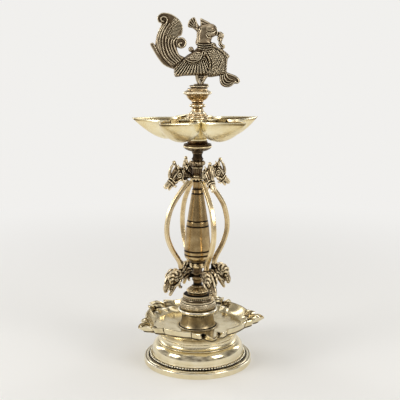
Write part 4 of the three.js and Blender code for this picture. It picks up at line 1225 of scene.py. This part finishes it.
def carve_head(bird):
    """The body, the head with its eye and smile, and the pendant from the beak."""
    bird.pad(PENDANT, 3.2, 1.8)
    bird.ribs(([(33.4, 71.6), (34.4, 66), (35.6, 61), (39.4, 58.6)], 0.9, -1.4),
              ([(36.4, 70.6), (35.6, 64.6), (39, 60.6)], 0.8, 0.8))
    bird.pad(BIRD_BODY, 8.2, 8)
    bird.dome((24, 33), (27, 24), 3)
    bird.pad(HEAD, 8.2, 12)
    bird.dome((19.4, 86.2), (7.4, 5.4), 1.5)
    bird.dome((19.6, 77.4), (7.4, 4.4), 1.1)
    bird.ribs(([(15.4, 82), (20, 80.6), (25.4, 81.8), (28.4, 84.4)], 1.0, -1.3),
              ([(14.6, 77), (16, 74.2), (19.8, 73.2), (26.5, 75)], 0.8, -1.4),
              ([(13.4, 75.6), (15.4, 72.6), (19.8, 71.6), (24, 72.4)], 0.7, 0.8),
              ([(1.4, 64), (1.2, 72), (2.2, 80), (5.6, 86.6)], 0.8, -0.8))


def carve_wing(bird):
    """The wing with its quills and the crescent of the saddle, and the collar and the breast's edge."""
    wing = Relief()
    wing.pad(WING, 11, 4)
    bird.half = np.maximum(bird.half, wing.half)
    for start, end in marks_between(CRESCENT_OUT, WING_FOOT, 16):
        bird.rib([start, end], 1.15, -2.2, smooth=False)
    bird.ribs((WING[5:10], 1.1, 0.8), (WING[9:15], 1.6, 1.7),
              ([(20.6, 21), (21.6, 28), (21, 36), (18, 44), (13.6, 51.4)], 0.9, -2.2),
              (CRESCENT_OUT, 1.2, 1.5), (CRESCENT_IN, 1.0, 1.5),
              ((np.array(CRESCENT_IN) + np.array(CRESCENT_OUT)) / 2, 0.9, -1.5))
    for z, rise in ((63.4, 1.6), (61.7, -1.6), (60, 1.6), (58.3, -1.6), (56.6, 1.6)):
        bird.rib([(-1.6, z), (5, z - 1.7), (12, z - 2), (19, z - 1.2), (23.4, z + 0.6)], 0.9, rise)
    bird.ribs(([(23, 60.4), (31, 57.4), (38.6, 51.4), (45.6, 44.4)], 1.4, 1.8),
              ([(22.4, 57.8), (30, 54.8), (37, 49.4), (43.4, 42.6)], 0.9, -1.8),
              ([(44.4, 43), (42.8, 36), (42.4, 28), (42.4, 20)], 1.0, -1.6), (BREAST_EDGE, 1.5, 1.4))


def carve_front(bird):
    """The beak, the panel between the legs and the shell under the breast."""
    bird.pad(BEAK, 3.4, 2.4)
    bird.ribs(([(29.8, 86), (30.6, 81), (29.8, 76.4)], 1.3, 2.2),
              ([(32.2, 84.6), (32.8, 80), (32, 75.4)], 0.8, -1.6))
    bird.pad(LEG_PANEL, 3, 1.6, smooth=False)
    bird.rib([(3, 12.6), (10.4, 12.6), (6.6, 4.6), (3, 12.6)], 0.8, -1.3, smooth=False)
    bird.pad(SHELL, 3.8, 2.6)
    bird.ribs(*((rib, 1.2, 1.5) for rib in SHELL_RIBS))


def carve_barbs(bird):
    """Barbs cut to both sides of a shaft over the top of the tail."""
    foot_at, tip_at = np.array([-46.0, 72.0]), np.array([-29.0, 99.0])
    shaft = (tip_at - foot_at) / np.hypot(*(tip_at - foot_at))
    normal = np.array([-shaft[1], shaft[0]])
    bird.rib([foot_at, tip_at], 0.9, 0.8, smooth=False)
    for share in np.arange(15) / 14:
        start = foot_at + (tip_at - foot_at) * share
        for lean in (-9, 5.5):
            bird.rib([start, start + normal * lean + shaft * 4.5], 0.7, -1.1, smooth=False)


def carve_breast(bird):
    """Short feather strokes that swirl round the middle of the breast."""
    for row in range(13):
        for column in range(11):
            sway = 0.8 * math.sin(5.1 * row + 3.7 * column)
            here = np.array([12.5 + 3.3 * column + 1.65 * (row % 2) + sway, 13.5 + 3.3 * row - sway])
            off = here - BREAST_EYE
            turn = math.atan2(off[1], off[0]) + math.radians(36)
            run = np.array([math.cos(turn), math.sin(turn)])
            bend = np.array([-run[1], run[0]])
            bird.rib([here - run * 2, here - bend * 0.8, here + run * 2 + bend * 0.5], 0.75, -1.3)


def saddle_grains(bird):
    """Small grains on the saddle, on both sides."""
    grains = []
    for row in range(5):
        z = 39.6 + 2.45 * row
        for k in range(9):
            x = -14.5 + 2.5 * k + (row % 2) * 1.25
            if z < 37.6 + 0.035 * (x + 4) ** 2 or z > 42 + 0.5 * (x + 16) or x > 5.4:
                continue
            half = bird.half[np.searchsorted(bird.z[:, 0], z), np.searchsorted(bird.x[0], x)]
            grains.append(mirrored(ball(1.0, (x, half, z), (1, 0.7, 1), 8, 6)))
    return joined(*grains)


# The bird's round plate: its radius, how far its middle stands off the stem's axis, and its thickness
PLATE_RADIUS = 16
PLATE_OFF = 2.4
PLATE_HEIGHT = 5

# How far the bird is let down into its pedestal, so that its top stays inside the frame's box
BIRD_SINK = 0.08


def peacock():
    bird = Relief()
    for carve in (carve_tail, carve_head, carve_breast, carve_wing, carve_front):
        carve(bird)
    section = Section("peacock", (0.4, -5), (13.4, -5), (13.2, -3.4), (-1, -2.6), (-0.8, -0.8, 0.8, 6),
                      (-2, 0), (0.4, 0), extent=(PLATE_RADIUS, 0, 0))
    plate = moved(section.turned(72, 0.25), (PLATE_OFF, 0, 0))
    limbs = [
        bar([(-1, 3.2, 16, 3), (-0.4, 3.8, 9, 2.4), (2, 4.4, 3, 2.1), (3.4, 4.6, 0, 2.4)], 1, 12),
        bar([(12.4, 3.2, 16, 3.2), (10.4, 3.8, 9, 2.4), (7, 4.4, 3, 2.1), (6, 4.6, 0, 2.4)], 1, 12),
        bar([(16, 4.4, 21, 2.6), (14.6, 5, 15, 2.4), (11, 5, 9.6, 1.6)], 1, 12),
        bar([(5, 4.4, 1.4, 1.8), (11, 5, 0.8, 1.6), (16, 4.6, 0.6, 1.2)], 1, 10),
        bar([(5, 4.4, 1.4, 1.8), (0, 5, 0.8, 1.5), (-5, 4.6, 0.6, 1.2)], 1, 10),
    ]
    knobs = [
        ball(4.3, (-10, 0, 54.6), sides=18, rows=12),
        bar([(-8, 0, 51, 1.8), (-3, 0, 53, 1.6), (1, 0, 57, 1.6)], 1.6, 10),
        ball(1, (36, 0, 75.6), (5, 5, 4.6), 18, 12),
    ]
    shape = joined(bird.mesh(), plate, saddle_grains(bird), *(mirrored(limb) for limb in limbs), *knobs)
    plate_z = top("finial_pedestal") + PLATE_HEIGHT
    mesh = cast("peacock_cast", moved(shape, (0, 0, plate_z)), BIRD_VOXEL)
    mesh.transform(Matrix.Translation((0, 0, -BIRD_SINK * MM)))
    face = np.array([14, 0, plate_z + 79])

    def polish(spots):
        return -0.02 * np.exp(-(((spots - face) / (15, 20, 14)) ** 2).sum(1))
    show("peacock_cast", mesh, ANTIQUE, "peacock", 6, polish)


# Steel that shows only when the lamp is taken apart

def rods():
    for node in ("tie_rod", "finial_stud"):
        frame["nodes"][node].data.materials.clear()
        frame["nodes"][node].data.materials.append(STEEL)


# Room

def sky():
    """The pale backdrop, which metal shows behind the lamp, and a dimmer studio above and in front."""
    world = bpy.data.worlds.new("studio")
    bpy.context.scene.world = world
    board = Board(world)
    look = board.node("TexCoord", out="Generated")
    upright = board.node("VectorMath", {0: look, 1: (1, 1, 0.12)}, operation="MULTIPLY")
    folds = board.node("TexNoise", {"Vector": upright, "Scale": 5, "Detail": 3})
    studio = board.blend(folds.between(0.36, 0.66), STUDIO_DARK, STUDIO_PALE)
    behind = (1 - board.part_of(look, "Z").between(0.1, 0.6)) * board.part_of(look, "Y").between(0.1, 0.8)
    metal = board.blend(behind, studio, BACKDROP)
    lit = board.blend(board.ray("Glossy"), FILL, metal)
    board.feed(board.shader, {"Color": board.blend(board.ray("Camera"), lit, BACKDROP), "Strength": 1})


def floor():
    """A pale floor that keeps the lamp's shadow near it and runs into the backdrop far from it."""
    half = 40
    mesh = bpy.data.meshes.new("floor")
    corners = [(-half, -half, 0), (half, -half, 0), (half, half, 0), (-half, half, 0)]
    mesh.from_pydata(corners, [], [(0, 1, 2, 3)])
    board = Board(bpy.data.materials.new("floor_white"))
    board.feed(board.shader, {"Base Color": FLOOR_WHITE, "Roughness": 0.6, "Specular IOR Level": 0.2})
    here = board.node("TexCoord", out="Object")
    away = board.node("VectorMath", {0: here}, out="Value", operation="LENGTH")
    seen, shone = board.ray("Camera"), board.ray("Glossy")
    metal = board.blend(board.part_of(here, "Y").between(-1.4, -0.5), STUDIO_PALE, BACKDROP)
    glow = board.node("Emission", {"Color": board.blend(seen, metal, BACKDROP)})
    far = away.between(0.3, 1.4) * (seen + shone)
    near = Wire(board, board.shader.outputs[0])
    surface = board.node("MixShader", {0: far, 1: near, 2: glow})
    board.feed(board.tree.nodes["Material Output"], {"Surface": surface})
    mesh.materials.append(board.owner)
    placed("floor", mesh)


def lights():
    """Soft panels: each has a place, a size, the height on the lamp that it faces, a power and a tint."""
    for name, place, size, aim, power, tint in (
        ("left", (-1.75, -0.85, 1.1), (0.8, 0.8), 0.25, 14, LAMP_TINT),
        ("right", (1.5, -1.1, 1.05), (0.8, 0.8), 0.25, 12, LAMP_TINT),
        ("overhead", (0.0, -0.1, 2.2), (2.4, 1.8), 0.2, 13, (1, 1, 1)),
        ("rim_left", (-1.5, 1.0, 0.9), (0.3, 1.2), 0.3, 5, (1, 1, 1)),
        ("rim_right", (1.5, 1.1, 0.9), (0.3, 1.2), 0.3, 5, (1, 1, 1)),
    ):
        lamp = bpy.data.lights.new(name, "AREA")
        lamp.shape = "RECTANGLE"
        lamp.size, lamp.size_y = size
        lamp.energy = power
        lamp.color = tint
        panel = placed(name, lamp)
        panel.location = place
        panel.rotation_euler = (Vector((0, 0, aim)) - Vector(place)).to_track_quat("-Z", "Y").to_euler()


def camera():
    lens = bpy.data.cameras.new("camera")
    lens.lens = LENS
    lens.sensor_width = 36
    lens.clip_start = 0.05
    view = placed("camera", lens)
    view.location = (CAMERA_SIDE * MM, -CAMERA_BACK * MM, CAMERA_HEIGHT * MM)
    view.rotation_euler = (math.radians(90 - CAMERA_TILT), 0, 0)
    bpy.context.scene.camera = view


for build in (camera, sky, floor, lights, foot, foot_collar, tray, base_disc, granulated_ring, stepped_ring,
              lotus_bell, mask_collar, arm_block, column, clasp_collar, head_collar, lobed_knob, drip_pan,
              quarters, cup_hub, oil_cups, finial_pedestal, peacock, rods):
    build()

bpy.context.scene.view_settings.view_transform = "Standard"
bpy.context.view_layer.update()
